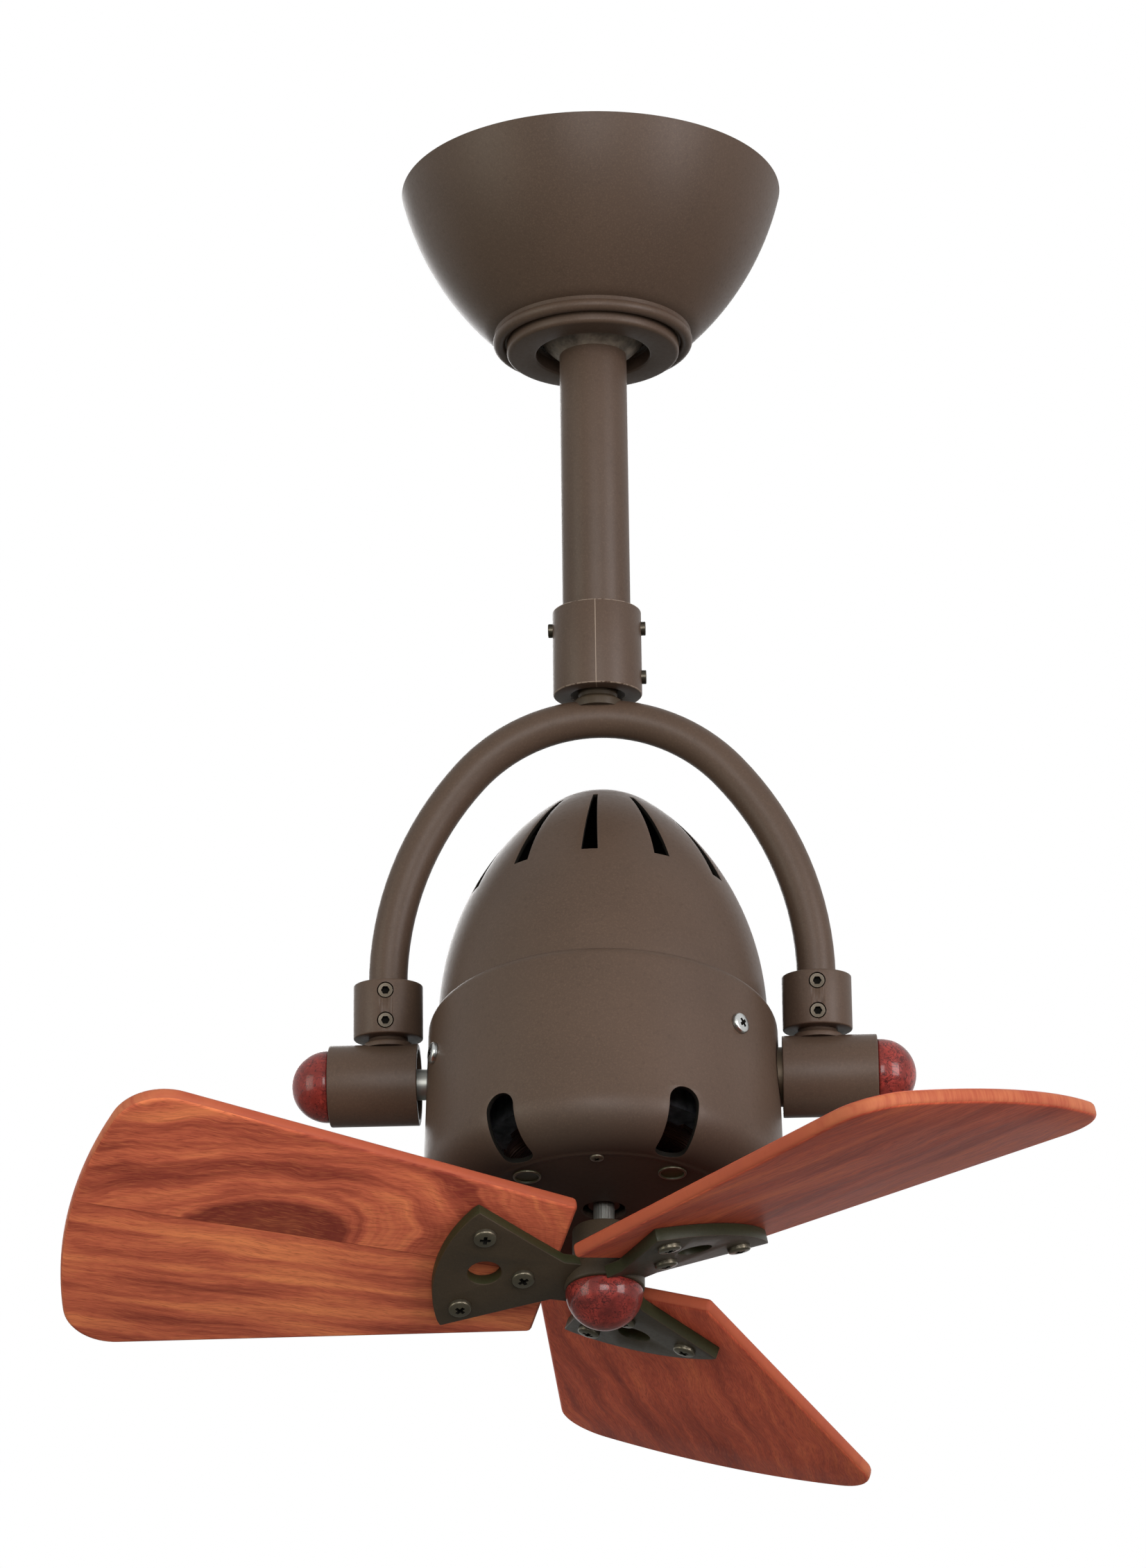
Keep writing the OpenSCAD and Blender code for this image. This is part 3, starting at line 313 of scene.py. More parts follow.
class Shader:
    """A material, or the world, under construction."""

    def __init__(self, name, kind="materials"):
        self.owner = getattr(bpy.data, kind).new(name)
        self.owner.use_nodes = True
        self.tree = self.owner.node_tree
        self.tree.nodes.clear()

    def node(self, kind, settings=None, inputs=None, out=0):
        made = self.tree.nodes.new(kind)
        for key, value in (settings or {}).items():
            setattr(made, key, value)
        for key, value in (inputs or {}).items():
            socket = made.inputs[key]
            if isinstance(value, Sock):
                self.tree.links.new(value.out, socket)
            else:
                socket.default_value = (*value, 1) if socket.type == "RGBA" else value
        return Sock(self, made.outputs[out]) if made.outputs else None

    def place(self, matrix=None):
        """Object coordinates in metres, or in the local frame that a matrix gives."""
        coordinates = self.node("ShaderNodeTexCoord", out="Object")
        if matrix is None:
            return coordinates
        back = matrix.inverted()
        return self.node("ShaderNodeMapping", inputs={
            "Vector": coordinates, "Location": back.translation, "Rotation": back.to_euler("XYZ")})

    def join(self, x, y, z):
        return self.node("ShaderNodeCombineXYZ", inputs={"X": x, "Y": y, "Z": z})

    def finish(self, **inputs):
        named = {key.replace("_", " "): value for key, value in inputs.items()}
        surface = self.node("ShaderNodeBsdfPrincipled", inputs=named)
        self.node("ShaderNodeOutputMaterial", inputs={"Surface": surface})
        return self.owner


def coat(name, colour, seam=False, underside=False):
    """Satin powder coat: a soft cloud in the tone and a fine orange-peel grain.

    seam draws a fine line down the front; underside paints shade on the motor head's underside and roughens
    it.
    """
    shader = Shader(name)
    place = shader.place()
    cloud = place.noise(16, 3)
    grain = place.noise(1500, 2)
    speck = place.noise(620, 3)
    base = cloud.levels(0.3, 0.7).mix(shade(colour, 0.9), shade(colour, 1.1))
    base = (grain.levels(0.5, 0.68) * 0.22).mix(base, shade(colour, 1.9))
    base = (speck.levels(0.56, 0.72) * 0.22).mix(base, shade(colour, 0.5))
    rough = 0.46 + (speck - 0.5) * 0.14
    height = grain
    if seam:
        across, depth, height_m = place.split()
        line = (abs(across) < 0.00016) * (depth < 0)
        worn = line * 0.7
        for edge in (COUPLING_TOP - 0.25, COUPLING_FOOT + 0.25):
            rubbed = (abs(height_m - edge * MM) < 0.00022) * speck.levels(0.4, 0.5)
            worn = worn + rubbed * 0.6
        base = worn.mix(base, srgb(150, 134, 120))
        height = grain + line * 4
    if underside:
        # Painted shade: the motor head's underside is darkened, fading out 12 mm above its floor, and made
        # rougher
        _, _, level = shader.place(metres(AT_HEAD)).split()
        under = 1 - level.levels(UNDERSIDE_SHADE_M, UNDERSIDE_SHADE_M + 0.012)
        base = (under * 0.62).mix(base, shade(colour, 0.28))
        rough = rough + under * 0.2
    normal = height.bump(0.00003, 0.6)
    return shader.finish(Base_Color=base, Roughness=rough, Specular_IOR_Level=0.2, Normal=normal)


def steel(name, colour, roughness, metallic=1):
    """Plated or blackened steel with fine turning marks and a worn tone."""
    shader = Shader(name)
    place = shader.place()
    wear = place.noise(140, 3)
    marks = place.noise((900, 900, 5200), 2)
    base = wear.levels(0.35, 0.7).mix(shade(colour, 0.72), colour)
    rough = roughness + (wear - 0.5) * 0.18
    normal = marks.bump(0.00002, 0.5)
    return shader.finish(Base_Color=base, Metallic=metallic, Roughness=rough, Normal=normal)


def cast(name, colour, roughness=0.6):
    """Sand-cast metal: mottled tone and a pitted skin."""
    shader = Shader(name)
    place = shader.place()
    patch = place.noise(220, 4, 0.6)
    pits = place.noise(1400, 2)
    base = patch.ramp([(0.32, shade(colour, 0.5)), (0.52, colour), (0.72, shade(colour, 1.5))])
    normal = (patch + pits * 0.4).bump(0.0004, 0.6)
    return shader.finish(Base_Color=base, Metallic=0.35, Roughness=roughness, Normal=normal)


def plain(name, colour, roughness, specular=0.4):
    """Moulded plastic or dull paint with a faint skin texture."""
    shader = Shader(name)
    place = shader.place()
    skin = place.noise(1200, 2)
    cloud = place.noise(60, 2)
    base = cloud.levels(0.3, 0.7).mix(shade(colour, 0.85), colour)
    return shader.finish(Base_Color=base, Roughness=roughness + (cloud - 0.5) * 0.1,
                         Specular_IOR_Level=specular, Normal=skin.bump(0.00002, 0.5))


def wire(name, colour):
    """Varnished copper wire, wound round the motor's axis."""
    shader = Shader(name)
    place = shader.place(metres(AT_HEAD))
    x, y, z = place.split()
    radius = (x * x + y * y).root()
    strands = (radius * 9000).sine() * 0.5 + (z * 9000).sine() * 0.5
    base = strands.levels(-0.6, 0.6).mix(shade(colour, 0.55), colour)
    return shader.finish(Base_Color=base, Metallic=0.8, Roughness=0.35, Normal=strands.bump(0.0002, 0.6))


def board(name, k, glue, heart_u, offset):
    """Lacquered reddish wood in the frame of blade k: boards, growth bands, fibres, pores and a painted
    shade on the root end face.

    glue is the height and slope of the line where two boards meet, and which side of it is up. With heart_u
    the upper board's bands run round a heart that this line cuts. Without it the line is soft and the upper
    board is a lighter, streaky one.
    """
    palette = colours()
    shader = Shader(name)
    local = shader.place(metres(AT_ROTOR @ at_blade(k)))
    u, v, _ = local.split()
    side = v * glue[2] - (u * glue[1] + glue[0])
    swell = local.noise((17, 26, 30), 2) - 0.5
    ripple = local.noise((52, 90, 90), 2) - 0.5
    bend = swell * 0.014 + ripple * 0.0045
    across = v + bend
    if heart_u is None:
        tint, contrast = (1.06, 0.82, 0.84), (0.36, 0.74)
        upper = (side + ripple * 0.012).levels(-0.002, 0.005)
        drift = offset
        ring = across
    else:
        tint, contrast = (1, 1, 1), (0.39, 0.62)
        upper = side > 0
        drift = upper * 0.37 + offset
        beyond = u.levels(heart_u, heart_u + 0.06)
        along = (u - heart_u) * (0.64 - beyond * 0.24) + side * 0.3
        rise = side + bend * 0.5
        distance = (along * along + rise * rise).root()
        ring = (v + bend * 0.4) * (1 - upper) + (distance + bend * 0.8) * upper
    band = shader.join(u * 9 + drift, ring * 125 + drift * 9, drift).noise(1, 2, 0.5)
    streak = shader.join(u * 30 + drift, ring * 400 + drift * 9, drift).noise(1, 4, 0.62)
    fibre = shader.join(u * 150, across * 1900, drift).noise(1, 3, 0.6)
    pores = shader.join(u * 230, across * 3600, drift + 4).noise(1, 1)
    patch = local.noise((13, 24, 20), 2)
    wood_light, wood_mid, wood_dark = [tuple(min(1, v * f) for v, f in zip(wood, tint)) for wood in (
        palette.wood_light, palette.wood_mid, palette.wood_dark)]
    tone = (band * 0.46 + streak * 0.26 + patch * 0.28).levels(*contrast)
    if heart_u is not None:
        halo = (1 - abs(distance - 0.0225 + ripple * 0.006).levels(0.001, 0.0055)) * upper
        tone = tone + halo * 0.3
    base = tone.ramp([(0, wood_dark), (0.5, wood_mid), (1, wood_light)])
    if heart_u is None:
        pale = streak.levels(0.42, 0.6).mix(wood_mid, srgb(212, 106, 70))
        base = (upper * 0.65).mix(base, pale)
    else:
        heart = (1 - (distance + ripple * 0.006).levels(0.0155, 0.0180)) * upper
        rings = (distance * 2600 + ripple * 5).sine() * 0.5 + 0.5
        core = (rings * 0.3).mix(srgb(104, 40, 34), srgb(126, 54, 42))
        base = (heart * 0.88).mix(base, core)
    base = (fibre.levels(0.5, 0.72) * 0.5).mix(base, wood_dark)
    base = (fibre.levels(0.5, 0.3) * 0.28).mix(base, wood_light)
    base = (pores.levels(0.62, 0.72) * 0.45).mix(base, srgb(84, 34, 26))
    if heart_u is not None:
        base = ((abs(side) < 0.0002) * 0.5).mix(base, srgb(96, 40, 28))
    # Painted shade: the root end face, which faces the hub under the bracket, is darkened
    root = 1 - u.levels(0.0194, 0.0206)
    base = (root * 0.6).mix(base, srgb(96, 38, 32))
    rough = 0.5 + (streak - 0.5) * 0.2
    normal = (fibre * 0.6 + pores * 0.4).bump(0.00005, 0.6)
    return shader.finish(Base_Color=base, Roughness=rough, Coat_Weight=0.03, Coat_Roughness=0.35,
                         Specular_IOR_Level=0.08, Normal=normal)


def board_edge(name, k):
    """The sanded edges of blade k, with short grain lines, paler round the tip."""
    palette = colours()
    shader = Shader(name)
    local = shader.place(metres(AT_ROTOR @ at_blade(k)))
    u, _, _ = local.split()
    lines = local.noise((60, 700, 90), 3, 0.6)
    cloud = local.noise((30, 40, 60), 2)
    long_side = 1 - u.levels(0.15, 0.19)
    pale = long_side.mix(srgb(184, 108, 74), srgb(168, 84, 58))
    base = (lines * 0.5 + cloud * 0.5).levels(0.38, 0.62).mix(srgb(160, 78, 56), pale)
    base = (lines.levels(0.6, 0.75) * 0.4).mix(base, palette.wood_dark)
    return shader.finish(Base_Color=base, Roughness=0.55, Specular_IOR_Level=0.12,
                         Normal=lines.bump(0.00006, 0.5))


def lacquered_burl(name):
    """Glossy lacquered burl: dark red with black flecks and veins under a clear coat."""
    colour = colours().burl
    shader = Shader(name)
    place = shader.place()
    cloud = place.noise(95, 4, 0.6, 1.2)
    veins = place.vector("ADD", (0.3, 0.1, 0.7)).noise(210, 5, 0.65, 2)
    flecks = place.noise(900, 2)
    base = cloud.ramp([(0.3, shade(colour, 0.4)), (0.5, colour), (0.72, shade(colour, 1.5))])
    dark = (1 - abs(veins - 0.5).levels(0, 0.05)) * cloud.levels(0.40, 0.54)
    base = (dark * 0.9).mix(base, srgb(26, 12, 16))
    smoke = place.vector("ADD", (0.9, 0.4, 0.2)).noise(55, 3)
    base = (smoke.levels(0.48, 0.62) * 0.6).mix(base, srgb(52, 22, 22))
    base = (flecks.levels(0.6, 0.68) * 0.7).mix(base, srgb(36, 12, 14))
    return shader.finish(Base_Color=base, Roughness=0.4, Coat_Weight=0.28, Coat_Roughness=0.06,
                         Specular_IOR_Level=0.12, Normal=flecks.bump(0.00001, 0.3))


MATERIALS = {}


def material(name):
    """Each finish of the fan, made once and kept by name."""
    if name in MATERIALS:
        return MATERIALS[name]
    palette = colours()
    makers = {
        "bronze": (coat, "bronze_coat", palette.bronze),
        "bronze_cup": (coat, "bronze_cup_coat", palette.bronze, False, True),
        "bronze_seam": (coat, "bronze_coat_seam", palette.bronze, True),
        "bronze_dark": (coat, "bronze_dark_coat", palette.bronze_dark),
        # An olive coat; on the bracket's side faces it is painted shade
        "bronze_olive": (coat, "bronze_olive_coat", srgb(44, 44, 26)),
        "bright_steel": (steel, "bright_steel", palette.bright_steel, 0.28),
        "worn_steel": (steel, "worn_steel", srgb(98, 91, 77), 0.34, 0.75),
        "shaft_steel": (steel, "shaft_steel", srgb(150, 150, 144), 0.42, 0.8),
        "dark_steel": (steel, "dark_steel", palette.dark_steel, 0.34, 0.8),
        "cast_grey": (cast, "cast_grey", srgb(108, 97, 86)),
        "brass": (steel, "brass", srgb(190, 150, 76), 0.3),
        # Darkened steel, painted shade on the bearings seen in the gap round the motor shaft
        "oiled_steel": (steel, "oiled_steel", srgb(74, 70, 62), 0.5, 0.7),
        "aged_brass": (steel, "aged_brass", srgb(74, 60, 44), 0.5, 0.6),
        "socket_steel": (steel, "socket_steel", srgb(84, 74, 60), 0.45, 0.4),
        "iron": (cast, "motor_iron", srgb(106, 106, 110), 0.5),
        # Copper darkened as painted shade, for the windings seen through the vents
        "copper": (wire, "copper_wire", srgb(78, 44, 30)),
        "burl": (lacquered_burl, "burl_wood"),
        "black_plastic": (plain, "black_plastic", srgb(34, 34, 36), 0.5),
        "pale_plastic": (plain, "pale_plastic", srgb(222, 214, 190), 0.45),
        # Near-black painted shade: inside the dome and cup, and in the screws' recesses
        "inner_black": (plain, "inner_black", srgb(20, 18, 15), 0.7, 0.05),
        "blade_0": (board, "blade_wood_left", 0, (-0.003, 0.057, 1), 0.127, 0),
        "blade_1": (board, "blade_wood_near", 1, (0.016, 0.09, 1), None, 0.51),
        "blade_2": (board, "blade_wood_far", 2, (0.036, 0.10, -1), None, 0.93),
        "edge_0": (board_edge, "blade_edge_left", 0),
        "edge_1": (board_edge, "blade_edge_near", 1),
        "edge_2": (board_edge, "blade_edge_far", 2),
    }
    maker, *rest = makers[name]
    MATERIALS[name] = maker(*rest)
    return MATERIALS[name]


def arc(centre_x, centre_y, radius, start, end, steps):
    """Points along an arc, in degrees, both ends included."""
    points = []
    for i in range(steps + 1):
        angle = math.radians(start + (end - start) * i / steps)
        points.append((centre_x + radius * math.cos(angle), centre_y + radius * math.sin(angle)))
    return points


def eased(corners, steps=4):
    """An outline whose corners (x, y, radius) are rounded where the radius is above zero."""
    points = []
    for i, (x, y, radius) in enumerate(corners):
        if radius <= 0:
            points.append((x, y))
            continue
        here = Vector((x, y))
        before = Vector(corners[i - 1][:2]) - here
        after = Vector(corners[(i + 1) % len(corners)][:2]) - here
        angle = before.angle(after)
        reach = min(radius / math.tan(angle / 2), before.length * 0.49, after.length * 0.49)
        bend = reach * math.tan(angle / 2)
        middle = here + (before.normalized() + after.normalized()).normalized() * math.hypot(reach, bend)
        first = here + before.normalized() * reach - middle
        last = here + after.normalized() * reach - middle
        sweep = first.angle_signed(last)
        for k in range(steps + 1):
            turned = Matrix.Rotation(-sweep * k / steps, 2) @ first
            points.append((middle.x + turned.x, middle.y + turned.y))
    return points


def outwards(bm):
    """Turns every face of a mesh outwards."""
    bmesh.ops.recalc_face_normals(bm, faces=bm.faces[:])
    return bm


def spin_round(bm, verts, edges, steps):
    bmesh.ops.spin(bm, geom=verts + edges, cent=(0, 0, 0), axis=(0, 0, 1), dvec=(0, 0, 0),
                   angle=math.tau, steps=steps, use_merge=True)


def lathe(profile, closed=True, steps=None):
    """Spins an outline of (radius, height) points about Z into a new mesh."""
    bm = bmesh.new()
    verts = [bm.verts.new((r, 0, z)) for r, z in profile]
    ends = verts[1:] + verts[:int(closed)]
    spin_round(bm, verts, [bm.edges.new(pair) for pair in zip(verts, ends)], steps or sizes().turn_steps)
    bmesh.ops.remove_doubles(bm, verts=bm.verts[:], dist=0.0005)
    bmesh.ops.dissolve_degenerate(bm, edges=bm.edges[:], dist=0.0001)
    return outwards(bm)


def disc(radius, segments, centre):
    """A round face, the start of an extruded mesh."""
    bm = bmesh.new()
    bmesh.ops.create_circle(bm, cap_ends=True, segments=segments, radius=radius)
    bmesh.ops.translate(bm, verts=bm.verts[:], vec=centre)
    return bm


def only(geometry, kind):
    return [item for item in geometry if isinstance(item, kind)]


def lift(bm, faces, height):
    """Extrudes faces along Z and returns the moved ones."""
    made = bmesh.ops.extrude_face_region(bm, geom=faces)["geom"]
    bmesh.ops.translate(bm, verts=only(made, bmesh.types.BMVert), vec=(0, 0, height))
    return only(made, bmesh.types.BMFace)


def slab(outline, z0, z1):
    """Raises a flat outline of (x, y) points into a new solid mesh."""
    bm = bmesh.new()
    lift(bm, [bm.faces.new([bm.verts.new((x, y, z0)) for x, y in outline])], z1 - z0)
    return outwards(bm)


def pin(radius, z0, z1):
    """A closed cylinder along Z, to cut a hole with."""
    return lathe([(0, z0), (radius, z0), (radius, z1), (0, z1)], False, 40)


def fold(edge):
    """The angle between an edge's two faces, or 0 at the rim of a mesh."""
    return math.degrees(edge.calc_face_angle(0))


def soften(bm, width, segments, angle):
    """Bevels the edges that are sharper than an angle."""
    sharp = [edge for edge in bm.edges if fold(edge) > angle]
    bmesh.ops.bevel(bm, geom=sharp, offset=width, offset_type="OFFSET", segments=segments, profile=0.5,
                    affect="EDGES", clamp_overlap=True, material=-1)
    return bm


def smooth(bm, below=SMOOTH_BELOW):
    """Shades a mesh smooth except for the edges that meet at a larger angle."""
    for face in bm.faces:
        face.smooth = True
    for edge in bm.edges:
        edge.smooth = fold(edge) < below


def link(name, data):
    made = bpy.data.objects.new(name, data)
    bpy.context.scene.collection.objects.link(made)
    return made


def to_object(name, bm, finishes=()):
    mesh = bpy.data.meshes.new(name)
    bm.to_mesh(mesh)
    bm.free()
    for finish in finishes:
        mesh.materials.append(finish)
    return link(name, mesh)


def final_mesh(piece):
    """A new mesh with the piece's modifiers applied."""
    graph = bpy.context.evaluated_depsgraph_get()
    return bpy.data.meshes.new_from_object(piece.evaluated_get(graph))


def add_piece(name, bm, finish, body, node, second=None, at=Matrix(), below=SMOOTH_BELOW):
    """Gives a mesh its finish and its place in a body's frame, and lets it ride on that body.

    second is another finish, for the faces whose material index is 1.
    """
    bm.transform(Matrix.Scale(MM, 4) @ FRAMES[body] @ at)
    if at.determinant() < 0:
        bmesh.ops.reverse_faces(bm, faces=bm.faces[:])
    smooth(bm, below)
    piece = to_object(name, bm, [material(key) for key in (finish, second) if key])
    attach(piece, body)
    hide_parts(node)
    return piece


def thicken(piece, thickness, edge):
    """Gives a shell its wall, inwards and in the second finish, and rounds the edges of its cuts."""
    wall = piece.modifiers.new("wall", "SOLIDIFY")
    wall.thickness = thickness * MM
    wall.offset = -1
    wall.use_even_offset = True
    # The inner faces and the cut walls take the second finish, which for the dome and cup is near-black
    # painted shade
    wall.material_offset = 1
    wall.material_offset_rim = 1
    rounding = piece.modifiers.new("edges", "BEVEL")
    rounding.width = edge * MM
    rounding.segments = 2
    rounding.limit_method = "ANGLE"
    rounding.angle_limit = math.radians(50)
    shell = piece.data
    mesh = final_mesh(piece)
    piece.modifiers.clear()
    piece.data = mesh
    bpy.data.meshes.remove(shell)
    bm = bmesh.new()
    bm.from_mesh(mesh)
    smooth(bm)
    bm.to_mesh(mesh)
    bm.free()


def cut_away(bm, cutters):
    """Takes closed cutter meshes away from a closed mesh and returns the result as a new one."""
    holders = [to_object("cut", part) for part in (bm, *cutters)]
    for cutter in holders[1:]:
        step = holders[0].modifiers.new("cut", "BOOLEAN")
        step.operation = "DIFFERENCE"
        step.solver = "EXACT"
        step.object = cutter
    mesh = final_mesh(holders[0])
    result = bmesh.new()
    result.from_mesh(mesh)
    for used in (mesh, *[holder.data for holder in holders]):
        bpy.data.meshes.remove(used)
    return result


def knob(radius, steps):
    """Half a ball above z = 0, with a small rounded shoulder at its foot."""
    soft = sizes().knob_swell / MM
    points = [(0, 0)] + arc(radius - soft, soft, soft, -90, 0, 3) + arc(0, soft, radius, 0, 90, 20)[1:]
    return lathe(points, False, steps)


def pan_head(radius, height, steps=36):
    """A pan-head screw, its head below z = 0, with a tapered cross recess."""
    def crown(out):
        return -height * (1 - 0.42 * out ** 3)

    soft = height * 0.45
    profile = [(0, 0), (radius, 0)] + arc(radius - soft, -soft, soft, 0, -62, 4)
    profile += [(radius * out, crown(out)) for out in (0.62, 0.4, 0.2, 0)]
    reach, width, deep = radius * 0.62, radius * 0.19, -height * 0.34
    arm = [(-reach, -width), (reach, -width), (reach, width), (-reach, width)]
    cutters = []
    for angle in (45, 135):
        cutter = slab(arm, -height - 1, deep)
        for vert in cutter.verts:
            if vert.co.z > -height:
                vert.co.x *= 0.45
                vert.co.y *= 0.6
        cutter.transform(turn(angle, "Z"))
        cutters.append(cutter)
    bm = cut_away(lathe(profile, False, steps), cutters)
    for face in bm.faces:
        x, y, z = face.calc_center_median()
        out = math.hypot(x, y) / radius
        # Painted shade: the faces of the cross recess take the second, near-black finish
        face.material_index = int(out < 0.66 and z > crown(out) + 0.06 * height)
    return bm


def socket_head(radius, z0, z1):
    """A set screw along Z whose upper end holds a hexagon socket."""
    bm = disc(radius, 36, (0, 0, z1))
    lift(bm, bm.faces[:], z0 - z1)
    outwards(bm)
    top = max(bm.faces, key=lambda face: face.calc_center_median().z)
    bmesh.ops.inset_individual(bm, faces=[top], thickness=radius * 0.14, depth=0)
    bmesh.ops.translate(bm, verts=top.verts[:], vec=(0, 0, -radius * 0.05))
    bmesh.ops.inset_individual(bm, faces=[top], thickness=radius * 0.2, depth=0)
    for vert in top.verts:
        angle = math.atan2(vert.co.y, vert.co.x) % math.radians(60)
        vert.co.xy = vert.co.xy.normalized() * radius * 0.5 / math.cos(angle - math.radians(30))
    lift(bm, [top], -radius * 0.7)
    bmesh.ops.delete(bm, geom=[top], context="FACES_ONLY")
    for face in outwards(bm).faces:
        x, y, z = face.calc_center_median()
        # Painted shade: the faces of the hexagon socket take the second, near-black finish
        face.material_index = int(math.hypot(x, y) < radius * 0.56 and z > z0 + 0.01)
    return bm


def gather(parts):
    """Joins meshes, each with its own placement, into one."""
    whole = bmesh.new()
    for part, matrix in parts:
        mesh = bpy.data.meshes.new("part")
        part.to_mesh(mesh)
        mesh.transform(matrix)
        whole.from_mesh(mesh)
        bpy.data.meshes.remove(mesh)
    return whole


def canopy_bowl():
    wall, curve, bead = 1.6, 120, 2.4
    bead_x, bead_z = RING_R + 0.6 + bead, CANOPY_FLOOR + 0.4
    foot = Vector((bead_x + 4.6, CANOPY_FLOOR + 5))
    rim = Vector((CANOPY_R, 0))
    chord = foot - rim
    out = Vector((-chord.y, chord.x)).normalized()
    centre = rim + chord / 2 - out * math.sqrt(curve ** 2 - (chord.length / 2) ** 2)
    start = math.degrees(math.atan2(-centre.y, CANOPY_R - centre.x))
    end = math.degrees(math.atan2(foot.y - centre.y, foot.x - centre.x))
    inner = curve - wall
    inner_start = -math.degrees(math.asin(centre.y / inner))
    profile = arc(centre.x, centre.y, curve, start, end, 36)
    profile += [(foot.x - 1.7, foot.y - 1), (foot.x - 2.7, foot.y - 1.4)]
    profile += arc(bead_x, bead_z, bead, 55, -170, 16)
    profile += [(ROD_HOLE_R + 0.4, CANOPY_FLOOR), (ROD_HOLE_R, CANOPY_FLOOR + 0.4),
                (ROD_HOLE_R, CANOPY_FLOOR + wall), (bead_x - bead + 1, CANOPY_FLOOR + wall)]
    profile += arc(centre.x, centre.y, inner, end, inner_start, 24)
    add_piece("canopy_bowl", lathe(profile, steps=144), "bronze", "mount", "canopy")


def trim_ring():
    seat_r, lip_r, recess_z = ROD_HOLE_R + 1.5, RING_R - 2.2, CANOPY_FLOOR - 3
    ring = lathe(eased([
        (ROD_HOLE_R, CANOPY_FLOOR, 0), (seat_r, CANOPY_FLOOR, 0), (seat_r, recess_z, 0),
        (lip_r, recess_z, 0), (lip_r, CANOPY_FLOOR, 0), (RING_R, CANOPY_FLOOR, 0.3),
        (RING_R, RING_FOOT, 1.6), (ROD_HOLE_R, RING_FOOT, 0.8)]), steps=128)
    add_piece("trim_ring_cover", ring, "bronze", "mount", "trim_ring")


class FAN_OT_canopy(bpy.types.Operator):
    """Spun canopy with its rolled bead, and the trim ring below it"""
    bl_idname = "fan.canopy"
    bl_label = "Canopy and trim ring"

    def execute(self, context):
        canopy_bowl()
        trim_ring()
        return {"FINISHED"}


def hanger_ball():
    bore = math.degrees(math.acos((ROD_R + 0.02) / BALL_R))
    ball = lathe(arc(0, -BALL_DROP, BALL_R, -bore, bore, 32))
    add_piece("hanger_ball_cast", ball, "cast_grey", "rod", "hanger_ball")


def downrod():
    inner_r = ROD_R - 2.8
    rod = lathe(eased([(inner_r, ROD_FOOT, 0.3), (ROD_R, ROD_FOOT, 0.3), (ROD_R, ROD_TOP, 0.5),
                       (inner_r, ROD_TOP, 0.5)], 2))
    add_piece("downrod_tube", rod, "bronze", "rod", "downrod")


def coupling():
    soft = softness()
    stem_r, cup_r, rod_r = 7.75, 12.5, ROD_R + 0.05
    cup_z, rod_z = COUPLING_FOOT + 11.3, COUPLING_FOOT + 20
    sleeve = lathe(eased([
        (stem_r, COUPLING_FOOT + 3, 0.2), (stem_r + 2.6, COUPLING_FOOT + 1.2, 0.2),
        (stem_r + 3.2, COUPLING_FOOT, 0.2), (COUPLING_R, COUPLING_FOOT, soft),
        (COUPLING_R, COUPLING_TOP, soft), (rod_r, COUPLING_TOP, 0.2), (rod_r, rod_z, 0),
        (cup_r, rod_z, 0), (cup_r, cup_z, 0), (stem_r, cup_z, 0)], 3))
    add_piece("coupling_sleeve", sleeve, "bronze_seam", "rod", "coupling_collar")


def coupling_screws():
    screw_r, proud = 2.75, 1.8
    parts = []
    for z, angle in ((COUPLING_TOP - 7, 90), (COUPLING_TOP - 7, -90), (COUPLING_FOOT + 7.3, 90)):
        screw = socket_head(screw_r, ROD_R + 0.1, COUPLING_R + proud)
        parts.append((soften(screw, 0.25, 1, 60), move(0, 0, z) @ turn(angle, "Y")))
    add_piece("coupling_socket_screws", gather(parts), "dark_steel", "rod", "coupling_screws",
              "inner_black")


class FAN_OT_downrod(bpy.types.Operator):
    """Cast hanger ball, downrod and coupling with its set screws"""
    bl_idname = "fan.downrod"
    bl_label = "Downrod and coupling"

    def execute(self, context):
        hanger_ball()
        downrod()
        coupling()
        coupling_screws()
        return {"FINISHED"}


def stem():
    stem_r, flange_r = 7.7, 12.2
    top = COUPLING_FOOT + 19 - TRUNNION_Z
    foot = ARCH_APEX + ARCH_TUBE_R * 0.5
    shows = COUPLING_FOOT - TRUNNION_Z
    crest = ARCH_APEX + ARCH_TUBE_R
    bm = lathe(eased([
        (0, foot, 0), (stem_r + 1.6, foot, 0), (stem_r + 1.6, crest - 0.5, 0.8), (stem_r, crest + 0.4, 0.3),
        (stem_r - 0.5, crest + 0.9, 0.2), (stem_r, shows, 0.2), (stem_r, top - 6.4, 0),
        (flange_r, top - 6.4, 0.4), (flange_r, top - 2.8, 0.4), (0, top - 2.8, 0)], 3), False, 64)
    add_piece("swivel_stem_turned", bm, "bronze_dark", "yoke", "swivel_stem")


